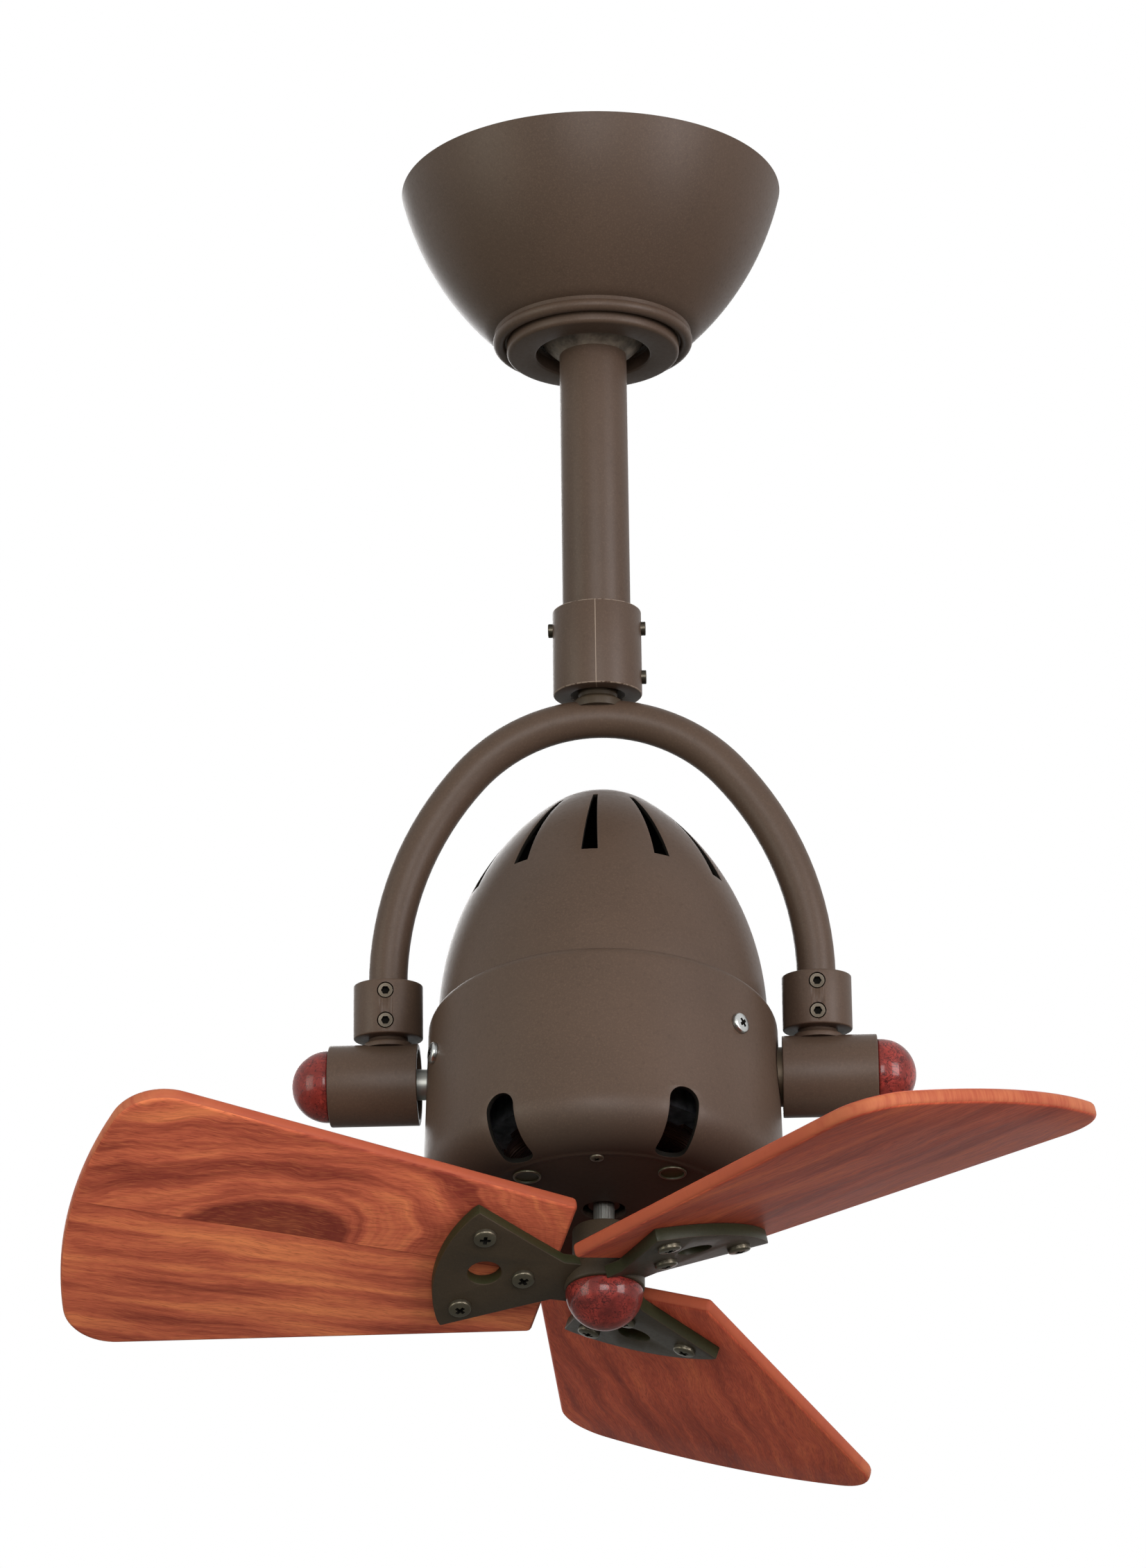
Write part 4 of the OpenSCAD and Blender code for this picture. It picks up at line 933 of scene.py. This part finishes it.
def arch():
    rise = ARCH_APEX - COLLAR_TOP
    side_r = (ARCH_HALF ** 2 + rise ** 2 - 2 * rise * CROWN_R) / (2 * (ARCH_HALF - CROWN_R))
    crown_z = ARCH_APEX - CROWN_R
    join = math.atan2(crown_z - COLLAR_TOP, side_r - ARCH_HALF)
    leg = 10
    bm = disc(ARCH_TUBE_R, 40, (-ARCH_HALF, 0, COLLAR_TOP - leg))
    last = lift(bm, bm.faces[:], leg)
    bends = (((side_r - ARCH_HALF, 0, COLLAR_TOP), join, 16), ((0, 0, crown_z), math.pi - 2 * join, 32),
             ((ARCH_HALF - side_r, 0, COLLAR_TOP), join, 16))
    passed = []
    for centre, angle, steps in bends:
        swept = bmesh.ops.spin(bm, geom=last, cent=centre, axis=(0, 1, 0), dvec=(0, 0, 0), angle=angle,
                               steps=steps)
        passed += last
        last = only(swept["geom_last"], bmesh.types.BMFace)
    passed += last
    lift(bm, last, -leg)
    bmesh.ops.delete(bm, geom=[face for face in passed if face.is_valid], context="FACES_ONLY")
    bmesh.ops.remove_doubles(bm, verts=bm.verts[:], dist=0.001)
    add_piece("yoke_arch_tube", outwards(bm), "bronze", "yoke", "yoke_arch")


def collar(side, name):
    soft = softness()
    inner_r = ARCH_TUBE_R + 0.02
    sleeve = lathe(eased([(inner_r, COLLAR_FOOT, 0.3), (COLLAR_R, COLLAR_FOOT, soft),
                          (COLLAR_R, COLLAR_TOP, soft), (inner_r, COLLAR_TOP, 0.3)], 3))
    holes = [pin(COLLAR_HOLE_R, COLLAR_R - 4, COLLAR_R + 2) for _ in COLLAR_SCREWS_Z]
    for hole, z in zip(holes, COLLAR_SCREWS_Z):
        hole.transform(move(0, 0, z) @ turn(90, "X"))
    bm = soften(cut_away(sleeve, holes), 0.18, 2, 60)
    add_piece(f"collar_{name}_turned", bm, "bronze", "yoke", f"arch_collar_{name}",
              at=move(side * ARCH_HALF, 0, 0))


def collar_screws():
    parts = []
    for side in (-1, 1):
        for z in COLLAR_SCREWS_Z:
            screw = socket_head(COLLAR_HOLE_R - 0.45, ARCH_TUBE_R + 0.1, COLLAR_R - 0.1)
            parts.append((soften(screw, 0.22, 2, 60), move(side * ARCH_HALF, 0, z) @ turn(90, "X")))
    add_piece("collar_socket_screws", gather(parts), "socket_steel", "yoke", "collar_screws",
              "inner_black")


def tube(side, name, reach):
    start, end = sorted(abs(x) for x in reach)
    inner_r, neck_r = TUBE_R - TUBE_WALL, ARCH_TUBE_R - 0.02
    neck_foot, neck_top = TUBE_R * 0.9, COLLAR_FOOT + 8
    sleeve = lathe(eased([(inner_r, start, 0.25), (TUBE_R, start, 0.4), (TUBE_R, end, softness()),
                          (inner_r, end, 0.25)], 3))
    neck = lathe(eased([
        (0, neck_foot, 0), (neck_r + 2.2, neck_foot, 0), (neck_r + 2, TUBE_R + 0.3, 0.9),
        (neck_r, TUBE_R + 1.2, 0.5), (neck_r, neck_top, 0), (0, neck_top, 0)], 3), False, 48)
    whole = gather([(sleeve, turn(90, "Y")), (neck, move(ARCH_HALF, 0, 0))])
    add_piece(f"trunnion_tube_{name}_welded", whole, "bronze", "yoke", f"trunnion_tube_{name}",
              at=Matrix.Scale(side, 4, (1, 0, 0)))


def finial(side, name):
    add_piece(f"finial_{name}_knob", knob(FINIAL_R, 64), "burl", "yoke", f"finial_{name}",
              at=move(side * -LEFT_TUBE[0], 0, 0) @ turn(side * 90, "Y"))


class FAN_OT_yoke(bpy.types.Operator):
    """Swivel stem, arched yoke tube, clamp collars, trunnion tubes and knobs"""
    bl_idname = "fan.yoke"
    bl_label = "Yoke"

    def execute(self, context):
        stem()
        arch()
        collar_screws()
        for side, name, reach in ((-1, "left", LEFT_TUBE), (1, "right", RIGHT_TUBE)):
            collar(side, name)
            tube(side, name, reach)
            finial(side, name)
        return {"FINISHED"}


def slotted_shell(profile, sectors, first, columns, half_angle):
    """Spins a profile whose columns of faces part round a slot in the middle of each sector.

    half_angle(index) gives the slot's half width in degrees and whether it is open at a profile point.
    """
    bm = bmesh.new()
    column_of = bm.verts.layers.int.new("column")
    row_of = bm.verts.layers.int.new("row")
    verts = [bm.verts.new((r, 0, z)) for r, z in profile]
    for index, vert in enumerate(verts):
        vert[row_of] = index
    steps = sectors * columns * 2
    spin_round(bm, verts, [bm.edges.new(pair) for pair in zip(verts, verts[1:])], steps)
    step = 360 / steps
    half_sector = step * columns
    for vert in bm.verts:
        place = round(math.degrees(math.atan2(vert.co.y, vert.co.x)) / step)
        column = place % (columns * 2)
        if column > columns:
            column -= columns * 2
        sector = (place - column) // (columns * 2)
        count = abs(column)
        edge, _ = half_angle(vert[row_of])
        angle = edge + (half_sector - edge) * (count - 1) / (columns - 1) if count else 0
        turned = math.radians(first + sector * half_sector * 2 + math.copysign(angle, column))
        radius = profile[vert[row_of]][0]
        vert.co.xy = radius * math.cos(turned), radius * math.sin(turned)
        vert[column_of] = count
    gone = [face for face in bm.faces
            if all(vert[column_of] <= 1 and half_angle(vert[row_of])[1] for vert in face.verts)]
    bmesh.ops.delete(bm, geom=gone, context="FACES")
    bmesh.ops.remove_doubles(bm, verts=bm.verts[:], dist=0.0005)
    return outwards(bm)


def dome():
    vents, first_vent, columns, wide, narrow = 12, 267, 5, 6.2, 1.6
    side_x = DOME_R - DOME_SIDE_R
    tip_z = DOME_FOOT + math.sqrt((DOME_SIDE_R - DOME_TIP_R) ** 2 - side_x ** 2)
    join_z = tip_z + DOME_TIP_R * math.sin(math.atan2(tip_z - DOME_FOOT, -side_x))
    low, high = DOME_FOOT + 46.7, tip_z + DOME_TIP_R - 12.9

    def side(z):
        return side_x + math.sqrt(DOME_SIDE_R ** 2 - (z - DOME_FOOT) ** 2)

    def tip(z):
        return math.sqrt(DOME_TIP_R ** 2 - (z - tip_z) ** 2)

    heights = [DOME_FOOT + (low - DOME_FOOT) * k / 12 for k in range(1, 13)]
    heights += [low + (high - low) * k / 16 for k in range(1, 17)]
    profile = [(DOME_R, z) for z in (14, 19, DOME_FOOT)]
    profile += [(side(z) if z < join_z else tip(z), z) for z in heights]
    start = math.degrees(math.asin((high - tip_z) / DOME_TIP_R))
    profile += arc(0, tip_z, DOME_TIP_R, start, 89.7, 14)[1:]

    def half_angle(index):
        r, z = profile[index]
        held = min(max(z, low), high)
        width = wide + (narrow - wide) * (held - low) / (high - low)
        reach = side(low) if z < low else max(r, tip(high))
        return math.degrees(math.asin(width / 2 / reach)), low - 0.01 <= z <= high + 0.01

    bm = slotted_shell(profile, vents, first_vent, columns, half_angle)
    crown_z = tip_z + DOME_TIP_R - 1
    crown = [edge for edge in bm.edges if edge.is_boundary and all(v.co.z > crown_z for v in edge.verts)]
    bmesh.ops.holes_fill(bm, edges=crown, sides=0)
    # The shell's inside and its vents' walls are near-black painted shade
    piece = add_piece("motor_dome_shell", outwards(bm), "bronze", "head", "motor_dome",
                      "inner_black")
    thicken(piece, DOME_WALL, 0.3)


def cup():
    vents, first_vent, columns = 6, 58, 9
    slot_half, slot_top, slot_end_r = 5.9, -33.8, 51.4
    bend = CUP_EDGE_R * math.pi / 2
    flat_r = CUP_R - CUP_EDGE_R
    slot_start = CUP_RISE - slot_top
    slot_end = CUP_SIDE + bend + flat_r - slot_end_r

    def at(reach):
        """Radius and height of the outside at a distance down the wall, round the edge and inwards."""
        if reach <= CUP_SIDE:
            return CUP_TOP_R + (CUP_R - CUP_TOP_R) * reach / CUP_SIDE, CUP_RISE - reach
        if reach <= CUP_SIDE + bend:
            angle = (reach - CUP_SIDE) / CUP_EDGE_R
            return flat_r + CUP_EDGE_R * math.cos(angle), -CUP_DEPTH + CUP_EDGE_R * (1 - math.sin(angle))
        return flat_r - (reach - CUP_SIDE - bend), -CUP_DEPTH

    reaches = [slot_start * k / 13 for k in range(1, 14)]
    reaches += [slot_start + slot_half * (1 - math.cos(math.pi / 2 * k / 7)) for k in range(1, 8)]
    straight = slot_end - slot_start - slot_half * 2
    reaches += [slot_start + slot_half + straight * k / 12 for k in range(1, 12)]
    reaches += [slot_end - slot_half + slot_half * math.sin(math.pi / 2 * k / 7) for k in range(8)]
    lip_end = math.acos((LIP_R - LIP_COVER) / LIP_R)
    lip = [(CUP_TOP_R - LIP_COVER, CUP_RISE + LIP_R * math.sin(lip_end) - 1.2)]
    lip += arc(CUP_TOP_R - LIP_R, CUP_RISE, LIP_R, math.degrees(lip_end), 0, 8)
    profile = lip + [at(reach) for reach in reaches]
    profile += [(50.3, -CUP_DEPTH), (49.7, -CUP_DEPTH - 0.3), (48.7, -CUP_DEPTH - 0.3)]
    profile += [(r, -CUP_DEPTH) for r in (47.9, 46, 40, 32, 22, 14, 8.6)]
    profile += [(8, -CUP_DEPTH + 0.6), (8, -CUP_DEPTH + 2)]

    def half_angle(index):
        step = index - len(lip)
        reach = reaches[step] if 0 <= step < len(reaches) else 0
        if reach < slot_start - 0.001:
            return 0, False
        past_end = max(slot_start + slot_half - reach, reach - slot_end + slot_half, 0)
        width = math.sqrt(max(slot_half ** 2 - past_end ** 2, 0))
        return math.degrees(math.asin(width / profile[index][0])), True

    bm = slotted_shell(profile, vents, first_vent, columns, half_angle)
    # The shell's inside and its vents' walls are near-black painted shade
    piece = add_piece("motor_cup_shell", bm, "bronze_cup", "head", "motor_cup",
                      "inner_black")
    thicken(piece, CUP_WALL, 0.35)


def housing_screws():
    height, screw_r = 1, 46.7
    seat = CUP_TOP_R + (CUP_R - CUP_TOP_R) * (CUP_RISE - height) / CUP_SIDE
    head = pan_head(4, 2)
    parts = [(head, turn(angle, "Z") @ move(seat + 0.05, 0, height) @ turn(-90, "Y"))
             for angle in (81, 201, 321)]
    add_piece("housing_cross_screws", gather(parts), "bright_steel", "head", "housing_screws",
              "inner_black")
    add_piece("bottom_cross_screw", pan_head(2.6, 1.2, 28), "worn_steel", "head", "bottom_screw",
              "inner_black", at=turn(269, "Z") @ move(screw_r, 0, -CUP_DEPTH - 0.02))


def plugs():
    place_r, plug_r, rim_r = 41.7, 5.3, 4.5
    inside, dish, rim = [-CUP_DEPTH - depth for depth in (-0.5, 0.15, 0.75)]
    parts = []
    for angle in (229, 309.6):
        plug = lathe(eased([
            (0, inside, 0), (plug_r, inside, 0), (plug_r, rim, 0.35), (rim_r, rim - 0.05, 0.2),
            (rim_r - 0.2, dish, 0.1), (0, dish, 0)], 3), False, 40)
        for face in plug.faces:
            face.material_index = int(face.calc_center_median().z < -CUP_DEPTH - 0.5)
        parts.append((plug, turn(angle, "Z") @ move(place_r, 0, 0)))
    add_piece("bottom_plug_caps", gather(parts), "bronze_olive", "head", "bottom_plugs",
              "worn_steel")


class FAN_OT_motor_head(bpy.types.Operator):
    """Dome and cup of the motor head with their vents, screws and plugs"""
    bl_idname = "fan.motor_head"
    bl_label = "Motor head"

    def execute(self, context):
        dome()
        cup()
        housing_screws()
        plugs()
        return {"FINISHED"}


def shaft():
    flutes, groove, foot, top = 22, 0.1, -91.5, 22.5
    bm = disc(SHAFT_R, flutes * 4, (0, 0, 0))
    for vert in bm.verts:
        step = round(math.degrees(math.atan2(vert.co.y, vert.co.x)) * flutes * 4 / 360) % 4
        if step in (1, 2):
            vert.co *= 1 - groove / SHAFT_R
    bmesh.ops.translate(bm, verts=bm.verts[:], vec=(0, 0, foot))
    lift(bm, bm.faces[:], top - foot)
    add_piece("motor_shaft_fluted", outwards(bm), "shaft_steel", "rotor", "motor_shaft",
              below=25)


def hub_collar():
    bm = lathe(eased([(BORE_R, HUB_Z, 0), (HUB_COLLAR_R, HUB_Z, 0), (HUB_COLLAR_R, HUB_TOP, softness()),
                      (BORE_R, HUB_TOP, 0.3)], 3))
    add_piece("hub_collar_turned", bm, "bronze_dark", "rotor", "hub_collar")


def bracket():
    half, neck, hole_r, hole_x = 31.6, 10.4, 6.4, BRACKET_R - 18.2
    edge = math.degrees(math.asin(half * 0.93 / BRACKET_R))
    inside = math.sqrt(HUB_R ** 2 - neck ** 2) - 0.2
    upper = arc(0, 0, BRACKET_R, 0, edge, 10)
    upper += [(BRACKET_R * 0.865, half), (BRACKET_R * 0.46, half * 0.53), (HUB_R + 3, neck), (inside, neck)]
    outline = [(x, -y) for x, y in reversed(upper[1:])] + upper
    hub = lathe(eased([(BORE_R, HUB_FOOT, 0), (HUB_R, HUB_FOOT, 0.8), (HUB_R, HUB_Z, 0.8),
                       (BORE_R, HUB_Z, 0)], 3))
    parts = []
    for k in range(BLADE_COUNT):
        hole = pin(hole_r, -1, BRACKET_T + 1)
        hole.transform(move(hole_x, 0, 0))
        plate = soften(cut_away(slab(outline, 0, BRACKET_T), [hole]), 0.4, 2, 40)
        # Painted shade: the plates' side faces take the second, olive coat
        for face in plate.faces:
            face.material_index = int(abs(face.normal.z) < 0.3)
        parts.append((plate, at_blade(k)))
    parts.append((hub, Matrix()))
    add_piece("blade_bracket_casting", gather(parts), "bronze_dark", "rotor", "blade_bracket",
              "bronze_olive")


def blade(k):
    root_r, root_half, flare, corner, sweep = 19, 35.5, 11.6, 20, 202
    slope = math.radians(flare)
    offset = root_half - root_r * math.tan(slope)
    corner_a = slope + math.asin((offset * math.cos(slope) - corner) / (sweep - corner))
    centre = Vector((math.cos(corner_a), math.sin(corner_a))) * (sweep - corner)
    corner_a = math.degrees(corner_a)
    upper = [(root_r, root_half)] + arc(centre.x, centre.y, corner, 90 + flare, corner_a, 16)
    upper += arc(0, 0, sweep, corner_a * 0.93, 0, 14)
    outline = upper + [(x, -y) for x, y in reversed(upper[:-1])]
    bm = soften(slab(outline, BRACKET_T, BRACKET_T + BLADE_T), sizes().blade_edge / MM, 4, 50)
    for face in bm.faces:
        face.material_index = int(abs(face.normal.z) < 0.6)
    add_piece(f"blade_{k + 1}_board", bm, f"blade_{k}", "rotor", f"blade_{k + 1}",
              f"edge_{k}", at=at_blade(k))


def blade_screws():
    head = pan_head(4.35, 2.2)
    places = [at_blade(k) @ move(x, y, -0.02) for k in range(BLADE_COUNT) for x, y in BRACKET_SCREWS]
    parts = [(head, place @ turn(37 * count, "Z")) for count, place in enumerate(places)]
    add_piece("blade_cross_screws", gather(parts), "worn_steel", "rotor", "blade_screws",
              "inner_black")


def cap():
    add_piece("hub_cap_knob", knob(CAP_R, 72), "burl", "rotor", "hub_cap",
              at=move(0, 0, HUB_FOOT) @ turn(180, "X"))


class FAN_OT_blades(bpy.types.Operator):
    """Motor shaft, hub, cast bracket, wooden blades, their screws and the cap"""
    bl_idname = "fan.blades"
    bl_label = "Hub and blades"

    def execute(self, context):
        shaft()
        hub_collar()
        bracket()
        for k in range(BLADE_COUNT):
            blade(k)
        blade_screws()
        cap()
        return {"FINISHED"}


# The finish of every CAD node that no piece replaces
KEPT_NODES = {
    "bright_steel": ("ceiling_bracket", "cross_pin", "oscillation_motor", "upper_bearing"),
    "shaft_steel": ("trunnion_shaft",),
    # The bearings take the darkened steel, painted shade in the gap round the shaft
    "oiled_steel": ("lower_bearing", "bearing_races"),
    "dark_steel": ("canopy_screws", "ball_screw", "shaft_clip", "drive_pinion", "hub_set_screw"),
    "brass": ("trunnion_bush",),
    "aged_brass": ("drive_bush", "drive_hub"),
    "iron": ("motor_frame", "stator_core", "bearing_plate", "rotor_core"),
    "copper": ("stator_windings",),
    "black_plastic": ("rod_lead", "arch_lead", "run_capacitor"),
    "pale_plastic": ("terminal_block", "thrust_washer"),
}


class FAN_OT_inner_parts(bpy.types.Operator):
    """Gives the bracket, the motor's parts, bushes, gears and leads their finishes"""
    bl_idname = "fan.inner_parts"
    bl_label = "Inner parts"

    def execute(self, context):
        for finish, names in KEPT_NODES.items():
            for name in names:
                slots = frame["nodes"][name].material_slots
                for slot in slots:
                    slot.material = material(finish)
                if not slots:
                    frame["nodes"][name].data.materials.append(material(finish))
        return {"FINISHED"}


def camera():
    heading, pitch, roll = 2.321, 12.806, -0.722
    data = bpy.data.cameras.new("camera")
    data.lens = 95.53
    data.sensor_width = 36
    data.shift_y = 0.2
    made = link("camera", data)
    place = move(0.0513, -1.5543, -0.7259)
    made.matrix_world = place @ turn(heading, "Z") @ turn(90 + pitch, "X") @ turn(roll, "Z")
    bpy.context.scene.camera = made


def lamp(name, place, size, power, colour):
    middle = Vector((0, 0, -0.32))
    data = bpy.data.lights.new(name, "AREA")
    data.shape = "RECTANGLE"
    data.spread = math.radians(70)
    data.size, data.size_y = size
    data.energy = power
    data.color = colour
    made = link(name, data)
    made.location = place
    made.rotation_mode = "QUATERNION"
    made.rotation_quaternion = (middle - Vector(place)).to_track_quat("-Z", "Y")


def surround():
    shader = Shader("surround", "worlds")
    seen = shader.node("ShaderNodeLightPath", out="Is Camera Ray")
    for ray in ("Is Glossy Ray", "Is Transmission Ray"):
        seen = seen.maths("MAXIMUM", seen, shader.node("ShaderNodeLightPath", out=ray))
    dim = shader.node("ShaderNodeBackground", inputs={"Color": (0.97, 1, 0.92), "Strength": 0.22})
    white = shader.node("ShaderNodeBackground", inputs={"Color": (1, 1, 1), "Strength": 1})
    mixed = shader.node("ShaderNodeMixShader", inputs={0: seen, 1: dim, 2: white})
    shader.node("ShaderNodeOutputWorld", inputs={"Surface": mixed})
    bpy.context.scene.world = shader.owner


def floor():
    half, depth = 14, 3.2
    shader = Shader("pale_floor")
    cloud = shader.place().noise(0.6, 2)
    base = (cloud * 0.2).mix((0.95, 0.95, 0.94), (0.91, 0.91, 0.91))
    lit = shader.node("ShaderNodeBsdfPrincipled", inputs={"Base Color": base, "Roughness": 0.7})
    glow = shader.node("ShaderNodeEmission", inputs={"Color": base, "Strength": 1})
    seen = shader.node("ShaderNodeLightPath", out="Is Camera Ray")
    mixed = shader.node("ShaderNodeMixShader", inputs={0: seen * 0.75, 1: lit, 2: glow})
    shader.node("ShaderNodeOutputMaterial", inputs={"Surface": mixed})
    bm = bmesh.new()
    bmesh.ops.create_grid(bm, x_segments=4, y_segments=4, size=half)
    bmesh.ops.translate(bm, verts=bm.verts[:], vec=(0, 0, -depth))
    to_object("studio_floor", bm, [shader.owner])


class FAN_OT_stage(bpy.types.Operator):
    """Camera, soft lights, white surround and a plain pale floor"""
    bl_idname = "fan.stage"
    bl_label = "Stage"

    def execute(self, context):
        camera()
        lamp("key", (1.9, -1.5, -0.05), (1, 1.6), 9, (1, 0.96, 0.96))
        lamp("fill", (-1.9, -1.2, -0.15), (1, 1.6), 3.6, (0.98, 1, 0.88))
        lamp("front", (0.1, -2.5, -0.1), (1.2, 1), 6, (1, 1, 1))
        lamp("back", (-0.4, 2.3, 0.6), (1.6, 1.2), 5, (1, 1, 1))
        surround()
        floor()
        bpy.context.scene.view_settings.view_transform = "Standard"
        return {"FINISHED"}


class FAN_PT_panel(bpy.types.Panel):
    """Sizes, colours and steps of the fan"""
    bl_idname = "FAN_PT_panel"
    bl_label = "Ceiling fan"
    bl_space_type = "VIEW_3D"
    bl_region_type = "UI"
    bl_category = "Ceiling fan"

    def draw(self, context):
        for group in (context.scene.fan_sizes, context.scene.fan_colours):
            for key in group.__annotations__:
                self.layout.prop(group, key)
        for step in STEPS:
            self.layout.operator(step.bl_idname)


STEPS = (FAN_OT_stage, FAN_OT_canopy, FAN_OT_downrod, FAN_OT_yoke, FAN_OT_motor_head, FAN_OT_blades,
         FAN_OT_inner_parts)
CLASSES = (FanSizes, FanColours, *STEPS, FAN_PT_panel)


def register():
    for cls in CLASSES:
        bpy.utils.register_class(cls)
    bpy.types.Scene.fan_sizes = PointerProperty(type=FanSizes)
    bpy.types.Scene.fan_colours = PointerProperty(type=FanColours)


def unregister():
    del bpy.types.Scene.fan_colours
    del bpy.types.Scene.fan_sizes
    for cls in reversed(CLASSES):
        bpy.utils.unregister_class(cls)


def main():
    register()
    bpy.ops.fan.stage()
    bpy.ops.fan.canopy()
    bpy.ops.fan.downrod()
    bpy.ops.fan.yoke()
    bpy.ops.fan.motor_head()
    bpy.ops.fan.blades()
    bpy.ops.fan.inner_parts()


if __name__ == "__main__":
    main()
